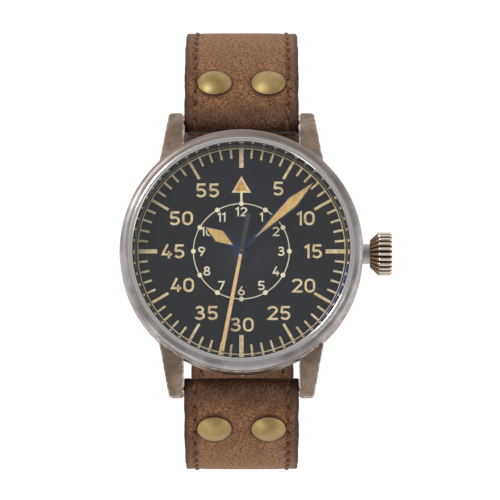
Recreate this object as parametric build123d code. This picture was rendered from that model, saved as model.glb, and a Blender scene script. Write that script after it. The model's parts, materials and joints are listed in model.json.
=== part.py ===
from build123d import *
from math import atan2, cos, degrees, hypot, radians, sin
import os

# A pilot's wristwatch on an unbuckled two-piece leather strap, in millimetres.
# Origin: the middle of the case back's outer face. +Z points out of the dial, +Y to 12
# o'clock and +X to the crown at 3 o'clock.

os.makedirs("parts", exist_ok=True)

# Clearances and overruns
fit_gap = 0.01          # pieces pushed together for good
run_gap = 0.04          # a piece that turns or slides on another
seat_gap = 0.05         # pieces laid in each other's recesses
cut_over = 1.0          # how far a cutting tool runs past what it cuts

# Case band and case back
case_r = 21.0
band_top_z = 9.6
band_low_curve = 2.7    # radius of the curve under the band
band_edge = 0.35        # chamfer at the top of the band
band_steps = 3          # facets that the curve is turned in
back_thick = 1.2
back_land = 0.8         # flat metal of the band round the case back
back_lip = 1.5          # from the case back's rim in to its threaded ring
back_ring_wall = 1.2
back_ring_high = 1.3
back_notches = 6
back_notch_w = 3.0
back_notch_deep = 0.6
back_notch_long = 1.6
gasket_w = 0.6
gasket_high = 0.45
gasket_land = 0.25      # metal left between the bore and the gasket's groove

# Dial, flange ring, crystal and bezel
dial_in = 0.32          # the dial's rim inside the crystal's
dial_thick = 0.4
dial_deep = 1.7         # from the band's top down to the dial's seat
dial_hole_r = 1.15
flange_low_w = 0.35     # the flange ring's width on the dial
flange_top_w = 0.1
neck_wall = 0.55        # rim of the band that centres the bezel
neck_high = 0.6
crystal_flange_w = 0.48
crystal_flange_high = 0.6
crystal_wall = 0.9
crystal_edge_high = 0.95
crystal_edge = 0.25
crystal_dome = 0.75
crystal_steps = 3       # facets that the dome is turned in
seal_high = 0.3
seal_w = 0.6
bezel_step = 0.1        # the bezel's rim inside the band's
bezel_w = 2.23          # from the crystal out to the bezel's rim
bezel_steps = 3
bezel_lip_high = 0.85
bezel_lip_w = 0.75
bezel_groove_w = 0.22
bezel_groove_deep = 0.22
bezel_slope_high = 0.5  # how far the bezel's face falls to its rounded rim
bezel_rim_high = 1.1    # straight part of the bezel's side

# Lugs and spring bars
lug_gap = 20.0
lug_reach = 3.7         # the tip past the band
lug_top_z = 4.1         # upper edge of the flat-cut tip
lug_low_z = 1.3
lug_tip_w = 2.6
lug_mid_w = 3.8
lug_mid_in = 3.5        # the next corner inside the band's rim
lug_root_w = 4.2
lug_root_in = 5.4
lug_start_in = 7.6      # where the lug's back leaves the band, inside its rim
lug_start_drop = 0.5
lug_bulge = 1.3         # how far the lug's back rises over a straight slope
lug_chamfer = 0.4
bar_in = 1.5            # the spring bar inside the lug's tip
bar_z = 2.9
bar_r = 0.75
bar_end_gap = 0.3
bar_tip_r = 0.4
bar_tip_long = 1.2
bar_hole_long = 1.4

# Crown, tube and stem
crown_z = 4.9
crown_off = 1.2         # the crown's inner end outside the band
crown_r = 3.8
crown_neck_r = 2.4
crown_cone_long = 1.5
crown_long = 3.8
crown_edge = 0.35
crown_flutes = 24
crown_flute_r = 0.38
crown_flute_deep = 0.24
crown_bore_r = 2.05
crown_bore_long = 2.5
tube_r = 1.75
tube_in_gap = 0.1
tube_end_gap = 0.5      # from the tube's end to the bottom of the crown's bore
crown_seal_long = 0.5
crown_seal_in = 0.2     # the seal's place past the mouth of the bore
stem_r = 0.7
stem_thin_r = 0.5
stem_journal_r = 0.34
stem_pilot_r = 0.26
stem_square = 0.7
stem_into_crown = 0.6
stem_step_in = 0.8      # the thick part starts this far inside the tube

# Movement: plates and bridges
plate_r = 12.9
plate_wall = 1.0
plate_z = 5.9           # back face of the main plate's floor
plate_thick = 1.0
bridge_z = 2.6
bridge_thick = 0.7
holder_gap = 0.05
stem_hole_r = 1.0
screw_r = 0.25
screw_head_r = 0.42
screw_head_high = 0.3
screw_long = 1.9
screw_angles = (20.0, 90.0, 160.0, 181.0, 200.0, -36.0)
clamp_angles = (228.0, 282.0)
clamp_w = 2.4
clamp_in = 0.7          # how far a clamp reaches over the plate's wall
clamp_long = 2.6
clamp_thick = 0.35
barrel_bridge_shares = (
    (-1.05, 0.2), (-0.13, 0.2), (0.15, 0.12), (0.31, 0.1), (0.4, -0.25), (1.05, -0.25),
    (1.05, 1.05), (-1.05, 1.05))
train_bridge_shares = (
    (-1.05, -0.34), (-0.45, -0.46), (0.2, -0.42), (0.26, 0.05), (0.1, 0.09), (-0.13, 0.17),
    (-0.6, 0.17), (-1.05, 0.05))

# Teeth: widths are shares of one tooth's pitch, heights are shares of the module
tooth_root_share = 0.27
tooth_tip_share = 0.11
tooth_add_share = 0.85
tooth_ded_share = 1.1

# Movement: wheels. Levels are distances along Z of each piece's back face.
arbor_r = 0.12
pivot_play = 0.04       # radial play of a pivot in its hole
train_pivot_in = 0.15   # how deep a pivot stands inside its bridge
third_angle = 215.0
escape_angle = -75.0
barrel_angle = 65.0
pallet_angle = -40.0
balance_angle = -50.0
minute_wheel_angle = 250.0
center_teeth = 48
third_pinion_teeth = 6
center_module = 0.14
third_teeth = 45
fourth_pinion_teeth = 6
fourth_teeth = 60
escape_pinion_teeth = 6
fourth_module = 0.115
barrel_teeth = 48
center_pinion_teeth = 8
barrel_module = 0.21
ratchet_teeth = 40
crown_wheel_teeth = 20
winding_teeth = 14
minute_teeth = 30
cannon_teeth = 10
hour_teeth = 32
minute_pinion_teeth = 8
motion_module = 0.132
escape_teeth = 15
escape_r = 1.9
escape_tooth_high = 0.45
third_z = 3.45
fourth_pinion_z = 3.42
fourth_z = 3.8
center_z = 4.15
barrel_z = 4.5
escape_z = 4.5
wheel_thick = 0.18
pinion_high = 0.4
barrel_high = 1.3
barrel_tooth_high = 0.3
barrel_wall = 0.2
barrel_drum_share = 0.9     # drum radius over the pitch radius
barrel_arbor_r = 0.5
barrel_hub_r = 0.95
ratchet_high = 0.3
crown_wheel_x = 7.3
crown_wheel_stud_r = 0.6
winding_r = 1.1
winding_x = 8.7
winding_long = 1.2
sliding_x = 10.2
sliding_long = 1.3
sliding_r = 1.0
sliding_groove = 0.35
center_tube_r = 0.34
cannon_r = 0.48
hour_pipe_r = 0.78
motion_z = 7.02
motion_thick = 0.2
pallet_far = 2.55       # escape wheel's axis to the pallet fork's
balance_far = 2.5       # pallet fork's axis to the balance's
balance_r = 3.2
balance_rim = 0.35
balance_z = 3.72
balance_high = 0.35
balance_arm_w = 0.35
roller_r = 0.4
pallet_arm_w = 0.3
pallet_stone_angle = 30.0
pallet_stone = 0.3
pallet_bridge_far = 1.9
pallet_bridge_r = 0.5
pallet_bridge_thick = 0.2
pallet_drop = 0.1       # from the pallet bridge to the fork
coil_thick = 0.07
coil_high = 0.16
coil_in_r = 0.5
coil_pitch = 0.26
coil_turns = 3
collet_r = 0.42
mainspring_thick = 0.14
mainspring_in_r = 1.05
mainspring_pitch = 0.8
mainspring_turns = 3
cock_end_r = 1.1

# Movement: rotor
rotor_hub_r = 2.3
rotor_plate_r = 10.4
rotor_r = 12.4
rotor_z = 1.45
rotor_web_z = 1.65
rotor_web = 0.25
rotor_rim_high = 0.85
bearing_r = 1.3
bearing_flange_r = 1.7
bearing_flange_high = 0.12

# Strap, along its middle line from the spring bar
strap_side_gap = 0.1
strap_end_w = 18.4
taper_high_z = -5.0
taper_low_z = -50.0
leather_out = 1.9       # outer leather above the middle line
leather_in = 1.5        # lining below it
glue_gap = 0.02
wrap_r = 1.85           # leather wrapped round a bar
lining_start = 2.9
slope_12 = 25.0
bend_12 = 30.5
corner_12 = 18.8
long_12 = 75.0
slope_6 = 38.0
head_6 = 9.5            # gently bent head with the rivets
bend_6 = 30.0
fall_6 = 22.0           # sharper bend below it
lean_6 = 7.0            # how far the strap then leans in
straight_6 = 18.4
corner_6 = 26.0
long_6 = 107.0
tip_deep = 6.0
hole_r = 1.0
hole_pitch = 6.5
hole_first = 22.0       # from the tip to the first hole
hole_count = 7
rivet_run = 7.2
rivet_half = 4.7
rivet_r = 2.95
rivet_dome = 1.15
rivet_steps = 3
rivet_shank_r = 1.0
rivet_back_r = 2.4
rivet_back_high = 0.4
keeper_w = 6.0
keeper_wall = 0.9
keeper_gap = 0.3
fixed_keeper_back = 10.0    # from the buckle's bar back to the fixed keeper
keepers_apart = 6.5

# Buckle
buckle_half = 11.6
buckle_ear_w = 2.0
buckle_long = 14.0
buckle_front = 2.8
buckle_thick = 2.2
buckle_ear_r = 1.7
buckle_corner = 2.5
tongue_w = 2.2
tongue_thick = 1.1
tongue_eye_r = 1.45
tongue_over = 0.9
tongue_slot_gap = 0.7
tongue_slot_long = 4.0  # slot in the leather, from the buckle's bar back

# Hands: levels of their lower faces, and their outlines in the dial's plane
hand_thick = 0.16
hour_hand_z = 8.9
minute_hand_z = 9.35
second_hand_z = 9.75
hour_turn = 303.7       # degrees clockwise from 12, as in the photograph
minute_turn = 46.4
second_turn = 190.9
hour_hub_r = 1.5
minute_hub_r = 1.25
second_hub_r = 0.6
hour_long = 7.8
hour_wide = 2.7
hour_wide_at = 4.5
hour_stub_w = 1.0
hour_window_from = 1.4
hour_window_tip = 7.35
minute_long = 17.6
minute_wide = 2.4
minute_wide_at = 12.1
minute_stub_w = 0.8
minute_window_from = 2.8
minute_window_tip = 16.9
hand_rim = 0.28         # metal left round the hands' windows
second_long = 17.75
second_root_w = 0.55
second_tip_w = 0.7
second_tail_long = 6.5
second_tail_w = 0.9

# Places worked out from the sizes above
back_r = case_r - band_low_curve - back_land
back_ring_r = back_r - back_lip
bore_r = back_ring_r + seat_gap
bezel_r = case_r - bezel_step
crystal_r = bezel_r - bezel_w - seat_gap
dial_r = crystal_r - dial_in
flange_low_r = dial_r - flange_low_w
flange_top_r = dial_r - flange_top_w
lug_tip_y = case_r + lug_reach
lug_mid_y = case_r - lug_mid_in
lug_root_y = case_r - lug_root_in
lug_start_y = case_r - lug_start_in
lug_tip_half = lug_gap / 2 + lug_tip_w
lug_mid_half = lug_gap / 2 + lug_mid_w
lug_root_half = lug_gap / 2 + lug_root_w
bar_y = lug_tip_y - bar_in
crown_x = case_r + crown_off
fixed_keeper_run = long_12 - fixed_keeper_back
sliding_keeper_run = fixed_keeper_run - keepers_apart
dial_z = band_top_z - dial_deep
dial_top_z = dial_z + dial_thick
dial_bore_r = dial_r + seat_gap
neck_top_z = band_top_z + neck_high
crystal_flange_r = crystal_r + crystal_flange_w
neck_in_r = crystal_flange_r + seat_gap
neck_out_r = neck_in_r + neck_wall
crystal_z = neck_top_z + seal_high
crystal_step_z = crystal_z + crystal_flange_high
crystal_edge_z = crystal_step_z + crystal_edge_high
bezel_top_z = crystal_step_z + bezel_lip_high
crown_end_x = crown_x + crown_long
tube_end_x = crown_x + crown_bore_long - tube_end_gap
tube_start_x = bore_r + tube_in_gap
holder_r = back_ring_r
holder_z = bridge_z + bridge_thick
wall_in_r = plate_r - plate_wall
plate_top_z = plate_z + plate_thick
pivot_low_z = bridge_z + train_pivot_in
pivot_high_z = plate_top_z - train_pivot_in
screw_ring_r = plate_r - plate_wall / 2
strap_w = lug_gap - 2 * strap_side_gap
third_far = center_module * (center_teeth + third_pinion_teeth) / 2
third_module = 2 * third_far / (third_teeth + fourth_pinion_teeth)
escape_far = fourth_module * (fourth_teeth + escape_pinion_teeth) / 2
barrel_far = barrel_module * (barrel_teeth + center_pinion_teeth) / 2
minute_far = motion_module * (cannon_teeth + minute_teeth) / 2


def polar(far, angle, start=(0, 0)):
    """A point in the plane, a distance away from another in a direction in degrees."""
    return (start[0] + far * cos(radians(angle)), start[1] + far * sin(radians(angle)))


def direction(start, end):
    """The direction in degrees from one point in the plane to another."""
    return degrees(atan2(end[1] - start[1], end[0] - start[0]))


third_at = polar(third_far, third_angle)
escape_at = polar(escape_far, escape_angle)
barrel_at = polar(barrel_far, barrel_angle)
pallet_at = polar(pallet_far, pallet_angle, escape_at)
balance_at = polar(balance_far, balance_angle, pallet_at)
minute_wheel_at = polar(minute_far, minute_wheel_angle)
crown_wheel_at = (crown_wheel_x, 0)
ratchet_far = hypot(barrel_at[0] - crown_wheel_at[0], barrel_at[1] - crown_wheel_at[1])
ratchet_module = 2 * ratchet_far / (ratchet_teeth + crown_wheel_teeth)
crown_axis = Axis((0, 0, crown_z), (1, 0, 0))
parts = {}


def disc(r, low, high, at=(0, 0)):
    """An upright cylinder between two levels."""
    return Pos(at[0], at[1], low) * extrude(Circle(r), amount=high - low)


def ring(r_in, r_out, low, high, at=(0, 0)):
    return disc(r_out, low, high, at) - disc(r_in, low - cut_over, high + cut_over, at)


def rod(r, start, end, y=0, z=0):
    """A cylinder along X between two places."""
    return Pos((start + end) / 2, y, z) * Rot(0, 90, 0) * Cylinder(r, end - start)


def turned(points):
    """A solid of revolution about Z from (radius, height) points."""
    return revolve(Plane.XZ * make_face(Polyline(*points, close=True)), axis=Axis.Z)


def crown_turned(points):
    """A solid of revolution about the crown's axis from (x, radius) points."""
    face = make_face(Polyline(*[(x, crown_z + r) for x, r in points], close=True))
    return revolve(Plane.XZ * face, axis=crown_axis)


def facets(arc, steps):
    """The ends of the straight cuts that follow an arc."""
    ends = [arc @ (step / steps) for step in range(steps + 1)]
    return [(end.X, end.Y) for end in ends]


def plate(points, low, high):
    """A flat plate with a straight-sided outline."""
    return Pos(0, 0, low) * extrude(make_face(Polyline(*points, close=True)), amount=high - low)


def gear(teeth, module, low, high, at=(0, 0), turn=0, bore=0):
    """A spur gear with trapezoid teeth; one tooth points along turn, in degrees."""
    pitch_r = module * teeth / 2
    root_r = pitch_r - module * tooth_ded_share
    tip_r = pitch_r + module * tooth_add_share
    step = 360 / teeth
    points = []
    for tooth in range(teeth):
        middle = turn + step * tooth
        points.append(polar(root_r, middle - step * tooth_root_share))
        points.append(polar(tip_r, middle - step * tooth_tip_share))
        points.append(polar(tip_r, middle + step * tooth_tip_share))
        points.append(polar(root_r, middle + step * tooth_root_share))
    face = make_face(Polyline(*points, close=True))
    if bore:
        face -= Circle(bore)
    return Pos(at[0], at[1], low) * extrude(face, amount=high - low)


def gap_towards(angle, teeth):
    """The turn that puts the gap between two teeth on a direction."""
    return angle + 180 / teeth


# Case


def lug_tool():
    """The four lugs as one side profile cut to the lugs' outline from above."""
    start = (lug_start_y, band_top_z - lug_start_drop)
    tip = (lug_tip_y, lug_top_z)
    run = (tip[0] - start[0], tip[1] - start[1])
    length = hypot(*run)
    middle = (
        (start[0] + tip[0]) / 2 - run[1] / length * lug_bulge,
        (start[1] + tip[1]) / 2 + run[0] / length * lug_bulge)
    low_root = (lug_start_y, back_thick)
    low_tip = (lug_tip_y, lug_low_z)
    side = Plane.YZ * make_face(Curve() + [
        ThreePointArc(start, middle, tip), Line(tip, low_tip), Line(low_tip, low_root),
        Line(low_root, start)])
    lug = extrude(side, amount=lug_root_half + cut_over)
    half = lug_gap / 2
    outline = [
        (half, 0), (lug_root_half, 0), (lug_root_half, lug_root_y), (lug_mid_half, lug_mid_y),
        (lug_tip_half, lug_tip_y - lug_chamfer), (lug_tip_half - lug_chamfer, lug_tip_y),
        (half + lug_chamfer, lug_tip_y), (half, lug_tip_y - lug_chamfer)]
    lug &= plate(outline, 0, band_top_z)
    lug += mirror(lug, about=Plane.YZ)
    return lug + mirror(lug, about=Plane.XZ)


def case_middle():
    low_r = case_r - band_low_curve
    low_z = back_thick + band_low_curve
    slant = band_low_curve * sin(radians(45))
    under = ThreePointArc((low_r, back_thick), (low_r + slant, low_z - slant), (case_r, low_z))
    outer = turned([
        (0, back_thick), *facets(under, band_steps), (case_r, band_top_z - band_edge),
        (case_r - band_edge, band_top_z), (neck_out_r, band_top_z), (neck_out_r, neck_top_z),
        (0, neck_top_z)])
    body = outer + lug_tool()
    body -= disc(bore_r, 0, neck_top_z + cut_over)
    body -= disc(dial_bore_r, dial_z, neck_top_z + cut_over)
    body -= disc(neck_in_r, band_top_z, neck_top_z + cut_over)
    groove_r = bore_r + gasket_land
    body -= ring(groove_r, groove_r + gasket_w, 0, back_thick + gasket_high)
    body -= rod(tube_r + fit_gap, 0, crown_x, z=crown_z)
    for side in (1, -1):
        body -= rod(bar_tip_r + run_gap, -lug_gap / 2 - bar_hole_long,
                    lug_gap / 2 + bar_hole_long, side * bar_y, bar_z)
    return body


def case_back():
    body = disc(back_r, 0, back_thick)
    body += ring(back_ring_r - back_ring_wall, back_ring_r, back_thick,
                 back_thick + back_ring_high)
    notch = Pos(back_r - back_notch_long / 2, 0, 0) * Box(
        back_notch_long + fit_gap, back_notch_w, 2 * back_notch_deep)
    for turn in range(back_notches):
        body -= Rot(0, 0, turn * 360 / back_notches) * notch
    return body


def bezel():
    """A ring with a polished lip, a groove beside it and a face that falls to its rim."""
    lip_in = crystal_r + seat_gap
    lip_out = lip_in + bezel_lip_w
    groove_out = lip_out + bezel_groove_w
    groove_z = bezel_top_z - bezel_groove_deep
    step_z = crystal_step_z + fit_gap
    neck_z = neck_top_z + seat_gap
    rim_z = band_top_z + bezel_rim_high
    shoulder = ((bezel_r + groove_out + bezel_slope_high) / 2, bezel_top_z - bezel_slope_high)
    fall = ThreePointArc((bezel_r, rim_z), shoulder, (groove_out, bezel_top_z))
    return turned([
        (neck_out_r + seat_gap, band_top_z), (bezel_r, band_top_z), *facets(fall, bezel_steps),
        (groove_out, groove_z), (lip_out, groove_z), (lip_out, bezel_top_z),
        (lip_in, bezel_top_z), (lip_in, step_z), (neck_in_r, step_z), (neck_in_r, neck_z),
        (neck_out_r + seat_gap, neck_z)])


def dome_arc(r, rim_z, top_z):
    """An arc from a rim to the top of a shallow dome that is centred on the axis."""
    high = top_z - rim_z
    ball_r = (r ** 2 + high ** 2) / (2 * high)
    half = atan2(r, ball_r - high) / 2
    return ThreePointArc(
        (r, rim_z), (ball_r * sin(half), top_z - ball_r * (1 - cos(half))), (0, top_z))


def crystal():
    """A low dome, flat inside, with a flange that the bezel holds down."""
    inner_r = crystal_r - crystal_wall
    inner_z = crystal_edge_z - crystal_wall
    dome = dome_arc(crystal_r - crystal_edge, crystal_edge_z, crystal_edge_z + crystal_dome)
    return turned([
        (inner_r, crystal_z), (crystal_flange_r, crystal_z), (crystal_flange_r, crystal_step_z),
        (crystal_r, crystal_step_z), (crystal_r, crystal_edge_z - crystal_edge),
        *facets(dome, crystal_steps), (0, inner_z), (inner_r, inner_z)])


def flange_ring():
    return turned([
        (flange_low_r, dial_top_z), (dial_r, dial_top_z), (dial_r, band_top_z),
        (crystal_flange_r, band_top_z), (crystal_flange_r, neck_top_z),
        (flange_top_r, neck_top_z)])


def case():
    groove_r = bore_r + gasket_land
    parts["case_middle"] = case_middle()
    parts["bezel"] = bezel()
    parts["crystal"] = crystal()
    parts["crystal_gasket"] = ring(
        crystal_flange_r - seal_w, crystal_flange_r, neck_top_z, crystal_z)
    parts["flange_ring"] = flange_ring()
    parts["dial"] = ring(dial_hole_r, dial_r, dial_z, dial_top_z)
    parts["case_back"] = case_back()
    parts["case_back_gasket"] = ring(
        groove_r + fit_gap, groove_r + gasket_w - fit_gap, back_thick,
        back_thick + gasket_high - fit_gap)


# Crown and stem


def crown():
    """A domeless cone and barrel with flutes round both, bored to pass over the tube."""
    cone_x = crown_x + crown_cone_long
    floor_x = crown_x + crown_bore_long
    body = crown_turned([
        (crown_x, crown_bore_r), (crown_x, crown_neck_r), (cone_x, crown_r),
        (crown_end_x - crown_edge, crown_r), (crown_end_x, crown_r - crown_edge),
        (crown_end_x, 0), (floor_x + stem_into_crown, 0), (floor_x + stem_into_crown, stem_r),
        (floor_x, stem_r), (floor_x, crown_bore_r)])
    lift = crown_flute_r - crown_flute_deep
    rise = crown_r - crown_neck_r
    slope = hypot(crown_cone_long, rise)
    across = (-rise / slope * lift, crown_cone_long / slope * lift)
    cone_tilt = degrees(atan2(rise, crown_cone_long))
    straight = rod(crown_flute_r, cone_x - lift, crown_end_x + cut_over, 0, crown_z + crown_r + lift)
    slanted = Pos(crown_x + crown_cone_long / 2 + across[0], 0,
                  crown_z + (crown_r + crown_neck_r) / 2 + across[1]) * Rot(
        0, 90 - cone_tilt, 0) * Cylinder(crown_flute_r, slope + lift)
    flute = straight + slanted
    for turn in range(crown_flutes):
        body -= flute.rotate(crown_axis, turn * 360 / crown_flutes)
    return body


def winding_stem():
    thick_x = tube_start_x + stem_step_in
    square_x = winding_x + winding_long + run_gap
    body = crown_turned([
        (square_x, 0), (square_x, stem_journal_r), (holder_r, stem_journal_r),
        (holder_r, stem_thin_r), (thick_x, stem_thin_r), (thick_x, stem_r),
        (crown_x + crown_bore_long + stem_into_crown, stem_r),
        (crown_x + crown_bore_long + stem_into_crown, 0)])
    square_long = plate_r - square_x
    body += Pos(square_x + square_long / 2, 0, crown_z) * Box(
        square_long, stem_square, stem_square)
    body += rod(stem_journal_r, winding_x - run_gap, square_x, z=crown_z)
    return body + rod(stem_pilot_r, winding_x - stem_pilot_r * 2, winding_x, z=crown_z)


def crown_pieces():
    seal_x = crown_x + crown_seal_in
    parts["crown_tube"] = rod(tube_r, tube_start_x, tube_end_x, z=crown_z) - rod(
        stem_r + seat_gap, tube_start_x - cut_over, tube_end_x + cut_over, z=crown_z)
    parts["crown"] = crown()
    parts["crown_gasket"] = rod(
        crown_bore_r - fit_gap, seal_x, seal_x + crown_seal_long, z=crown_z) - rod(
        tube_r + run_gap, seal_x - cut_over, seal_x + crown_seal_long + cut_over, z=crown_z)
    parts["winding_stem"] = winding_stem()


# Movement


def main_plate():
    body = disc(plate_r, plate_z, plate_top_z)
    body += ring(wall_in_r, plate_r, holder_z, dial_z)
    body -= rod(stem_hole_r, wall_in_r - cut_over, plate_r + cut_over, z=crown_z)
    slot_long = wall_in_r - winding_x + 2 * run_gap
    slot_r = winding_r + seat_gap
    body -= Pos(winding_x - run_gap + slot_long / 2, 0, crown_z) * Box(
        slot_long, 2 * slot_r, 2 * slot_r)
    body -= rod(stem_pilot_r + run_gap, winding_x - cut_over, winding_x, z=crown_z)
    body -= disc(center_tube_r + run_gap, 0, dial_z)
    for place in (third_at, escape_at, balance_at, pallet_at):
        body -= disc(arbor_r + run_gap, 0, dial_z, place)
    body -= disc(barrel_arbor_r + run_gap, 0, dial_z, barrel_at)
    for angle in screw_angles:
        body -= disc(screw_r + fit_gap, 0, holder_z + screw_long, polar(screw_ring_r, angle))
    body += disc(arbor_r * 2, plate_top_z, dial_z - run_gap, minute_wheel_at)
    return body


def bridge(outline_shares, holes):
    """A bridge plate that lies on the main plate's wall, with its pivot holes."""
    outline = [(plate_r * x, plate_r * y) for x, y in outline_shares]
    body = plate(outline, bridge_z, holder_z) & disc(plate_r - fit_gap, bridge_z, holder_z)
    for place, r in holes:
        body -= disc(r, bridge_z - cut_over, holder_z + cut_over, place)
    return body


def screw_holes(body, angles):
    for angle in angles:
        place = polar(screw_ring_r, angle)
        body -= disc(screw_r + fit_gap, bridge_z - cut_over, holder_z + cut_over, place)
        body -= disc(screw_head_r + fit_gap, bridge_z - cut_over, bridge_z + screw_head_high, place)
    return body


def screw(place, low, length):
    return disc(screw_head_r, low, low + screw_head_high, place) + disc(
        screw_r, low, low + length, place)


def balance_cock():
    foot = polar(screw_ring_r, screw_angles[-1])
    along = direction(balance_at, foot)
    corners = [
        polar(cock_end_r, along + 90, balance_at), polar(cock_end_r, along + 90, foot),
        polar(plate_wall, along, polar(cock_end_r, along + 90, foot)),
        polar(plate_wall, along, polar(cock_end_r, along - 90, foot)),
        polar(cock_end_r, along - 90, foot), polar(cock_end_r, along - 90, balance_at)]
    body = plate(corners, bridge_z, holder_z) + disc(cock_end_r, bridge_z, holder_z, balance_at)
    body &= disc(plate_r - fit_gap, bridge_z, holder_z)
    return body - disc(arbor_r + pivot_play, bridge_z - cut_over, holder_z + cut_over, balance_at)


def plates():
    small = arbor_r + pivot_play
    barrel_bridge = bridge(barrel_bridge_shares, [(barrel_at, barrel_arbor_r + pivot_play)])
    barrel_bridge += disc(
        crown_wheel_stud_r, holder_z, third_z + ratchet_high, crown_wheel_at)
    train_bridge = bridge(
        train_bridge_shares, [((0, 0), small), (third_at, small), (escape_at, small)])
    parts["main_plate"] = main_plate()
    parts["barrel_bridge"] = screw_holes(barrel_bridge, screw_angles[:3])
    parts["train_bridge"] = screw_holes(train_bridge, screw_angles[3:5])
    parts["balance_cock"] = screw_holes(balance_cock(), screw_angles[5:])
    screws = [screw(polar(screw_ring_r, angle), bridge_z, screw_long) for angle in screw_angles]
    parts["bridge_screws"] = Compound(screws)
    fork_side = direction(escape_at, pallet_at) - 90
    foot = polar(pallet_bridge_far, fork_side, pallet_at)
    half = pallet_bridge_r
    low = escape_z - pallet_drop - pallet_bridge_thick
    bar = plate([
        polar(half, fork_side + 90, pallet_at), polar(half, fork_side - 90, pallet_at),
        polar(half, fork_side - 90, foot), polar(half, fork_side + 90, foot)],
        low, low + pallet_bridge_thick)
    bar += disc(half, low, low + pallet_bridge_thick, pallet_at)
    bar += disc(half, low, plate_z, foot)
    parts["pallet_bridge"] = bar - disc(small, low - cut_over, escape_z, pallet_at)


def clamps():
    """Two plates screwed to the holder, which reach over the movement's wall."""
    body = ring(plate_r + holder_gap, holder_r, holder_z, dial_z - fit_gap)
    body -= rod(stem_hole_r, plate_r - cut_over, holder_r + cut_over, z=crown_z)
    clamp_list = []
    screw_list = []
    clamp_low = holder_z - clamp_thick
    for angle in clamp_angles:
        start = polar(plate_r - clamp_in, angle)
        middle = polar(clamp_long / 2, angle, start)
        place = polar((plate_r + holder_r) / 2, angle)
        clamp = Pos(middle[0], middle[1], holder_z - clamp_thick / 2) * Rot(0, 0, angle) * Box(
            clamp_long, clamp_w, clamp_thick)
        clamp_list.append(clamp - disc(screw_r + fit_gap, 0, holder_z + cut_over, place))
        body -= disc(screw_r + fit_gap, 0, holder_z + screw_long, place)
        screw_list.append(screw(place, clamp_low - screw_head_high, screw_long))
    parts["movement_holder"] = body
    parts["holder_clamps"] = Compound(clamp_list)
    parts["holder_screws"] = Compound(screw_list)


def train():
    third = gear(third_teeth, third_module, third_z, third_z + wheel_thick, third_at,
                 direction(third_at, (0, 0)))
    third += gear(third_pinion_teeth, center_module, center_z - seat_gap,
                  center_z - seat_gap + pinion_high, third_at,
                  gap_towards(direction(third_at, (0, 0)), third_pinion_teeth))
    third += disc(arbor_r, pivot_low_z, pivot_high_z, third_at)
    center = gear(center_teeth, center_module, center_z, center_z + wheel_thick, (0, 0),
                  third_angle)
    center += gear(center_pinion_teeth, barrel_module, plate_z - pinion_high - 2 * run_gap,
                   plate_z - 2 * run_gap, (0, 0), gap_towards(barrel_angle, center_pinion_teeth))
    center += disc(center_tube_r, center_z - seat_gap, minute_hand_z - run_gap)
    center -= disc(arbor_r + pivot_play, 0, crystal_z)
    fourth = gear(fourth_teeth, fourth_module, fourth_z, fourth_z + wheel_thick - run_gap, (0, 0),
                  escape_angle)
    fourth += gear(fourth_pinion_teeth, third_module, fourth_pinion_z, fourth_z, (0, 0),
                   gap_towards(third_angle, fourth_pinion_teeth))
    fourth += disc(arbor_r, pivot_low_z, second_hand_z + hand_thick)
    escape = escape_wheel()
    drum_r = barrel_module * barrel_teeth / 2 * barrel_drum_share
    top = barrel_z + barrel_high
    tooth_low = top - barrel_tooth_high - run_gap
    barrel = disc(drum_r, barrel_z, top - run_gap, barrel_at)
    barrel += gear(barrel_teeth, barrel_module, tooth_low, top - run_gap, barrel_at,
                   direction(barrel_at, (0, 0)))
    barrel -= disc(drum_r - barrel_wall, barrel_z + barrel_wall, tooth_low, barrel_at)
    barrel -= disc(barrel_arbor_r + run_gap, 0, plate_z, barrel_at)
    hub_low = barrel_z + barrel_wall + run_gap
    arbor = disc(barrel_arbor_r, pivot_low_z, pivot_high_z, barrel_at)
    arbor += disc(barrel_hub_r, hub_low, tooth_low - run_gap, barrel_at)
    spring = spiral(mainspring_in_r, mainspring_pitch, mainspring_turns, mainspring_thick)
    parts["third_wheel"] = third
    parts["center_wheel"] = center
    parts["fourth_wheel"] = fourth
    parts["escape_wheel"] = escape
    parts["mainspring_barrel"] = barrel
    parts["mainspring"] = Pos(barrel_at[0], barrel_at[1], hub_low) * extrude(
        spring, amount=tooth_low - run_gap - hub_low)
    parts["barrel_arbor"] = arbor


def escape_wheel():
    """A wheel whose pointed teeth lean one way, on its pinion and arbor."""
    step = 360 / escape_teeth
    points = []
    for tooth in range(escape_teeth):
        points.append(polar(escape_r - escape_tooth_high, step * tooth))
        points.append(polar(escape_r, step * (tooth + 1) - tooth_tip_share * step))
        points.append(polar(escape_r, step * (tooth + 1)))
    body = Pos(escape_at[0], escape_at[1], escape_z) * extrude(
        make_face(Polyline(*points, close=True)), amount=wheel_thick)
    body += gear(escape_pinion_teeth, fourth_module, fourth_z - seat_gap,
                 fourth_z + wheel_thick + seat_gap, escape_at,
                 gap_towards(direction(escape_at, (0, 0)), escape_pinion_teeth))
    return body + disc(arbor_r, pivot_low_z, pivot_high_z, escape_at)


def spiral(r_start, pitch, turns, thick):
    """A flat coil drawn with half circles about two centres half a pitch apart."""
    outer = []
    inner = []
    r = r_start
    for half in range(2 * turns):
        centre = 0 if half % 2 == 0 else pitch / 2
        sign = 1 if half % 2 == 0 else -1
        for edges, side in ((outer, thick / 2), (inner, -thick / 2)):
            reach = r + side
            edges.append(ThreePointArc(
                (centre + sign * reach, 0), (centre, sign * reach), (centre - sign * reach, 0)))
        r += pitch / 2
    start = (Line(inner[0] @ 0, outer[0] @ 0))
    end = Line(outer[-1] @ 1, inner[-1] @ 1)
    return make_face(Curve() + [start, *outer, end, *inner])


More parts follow.
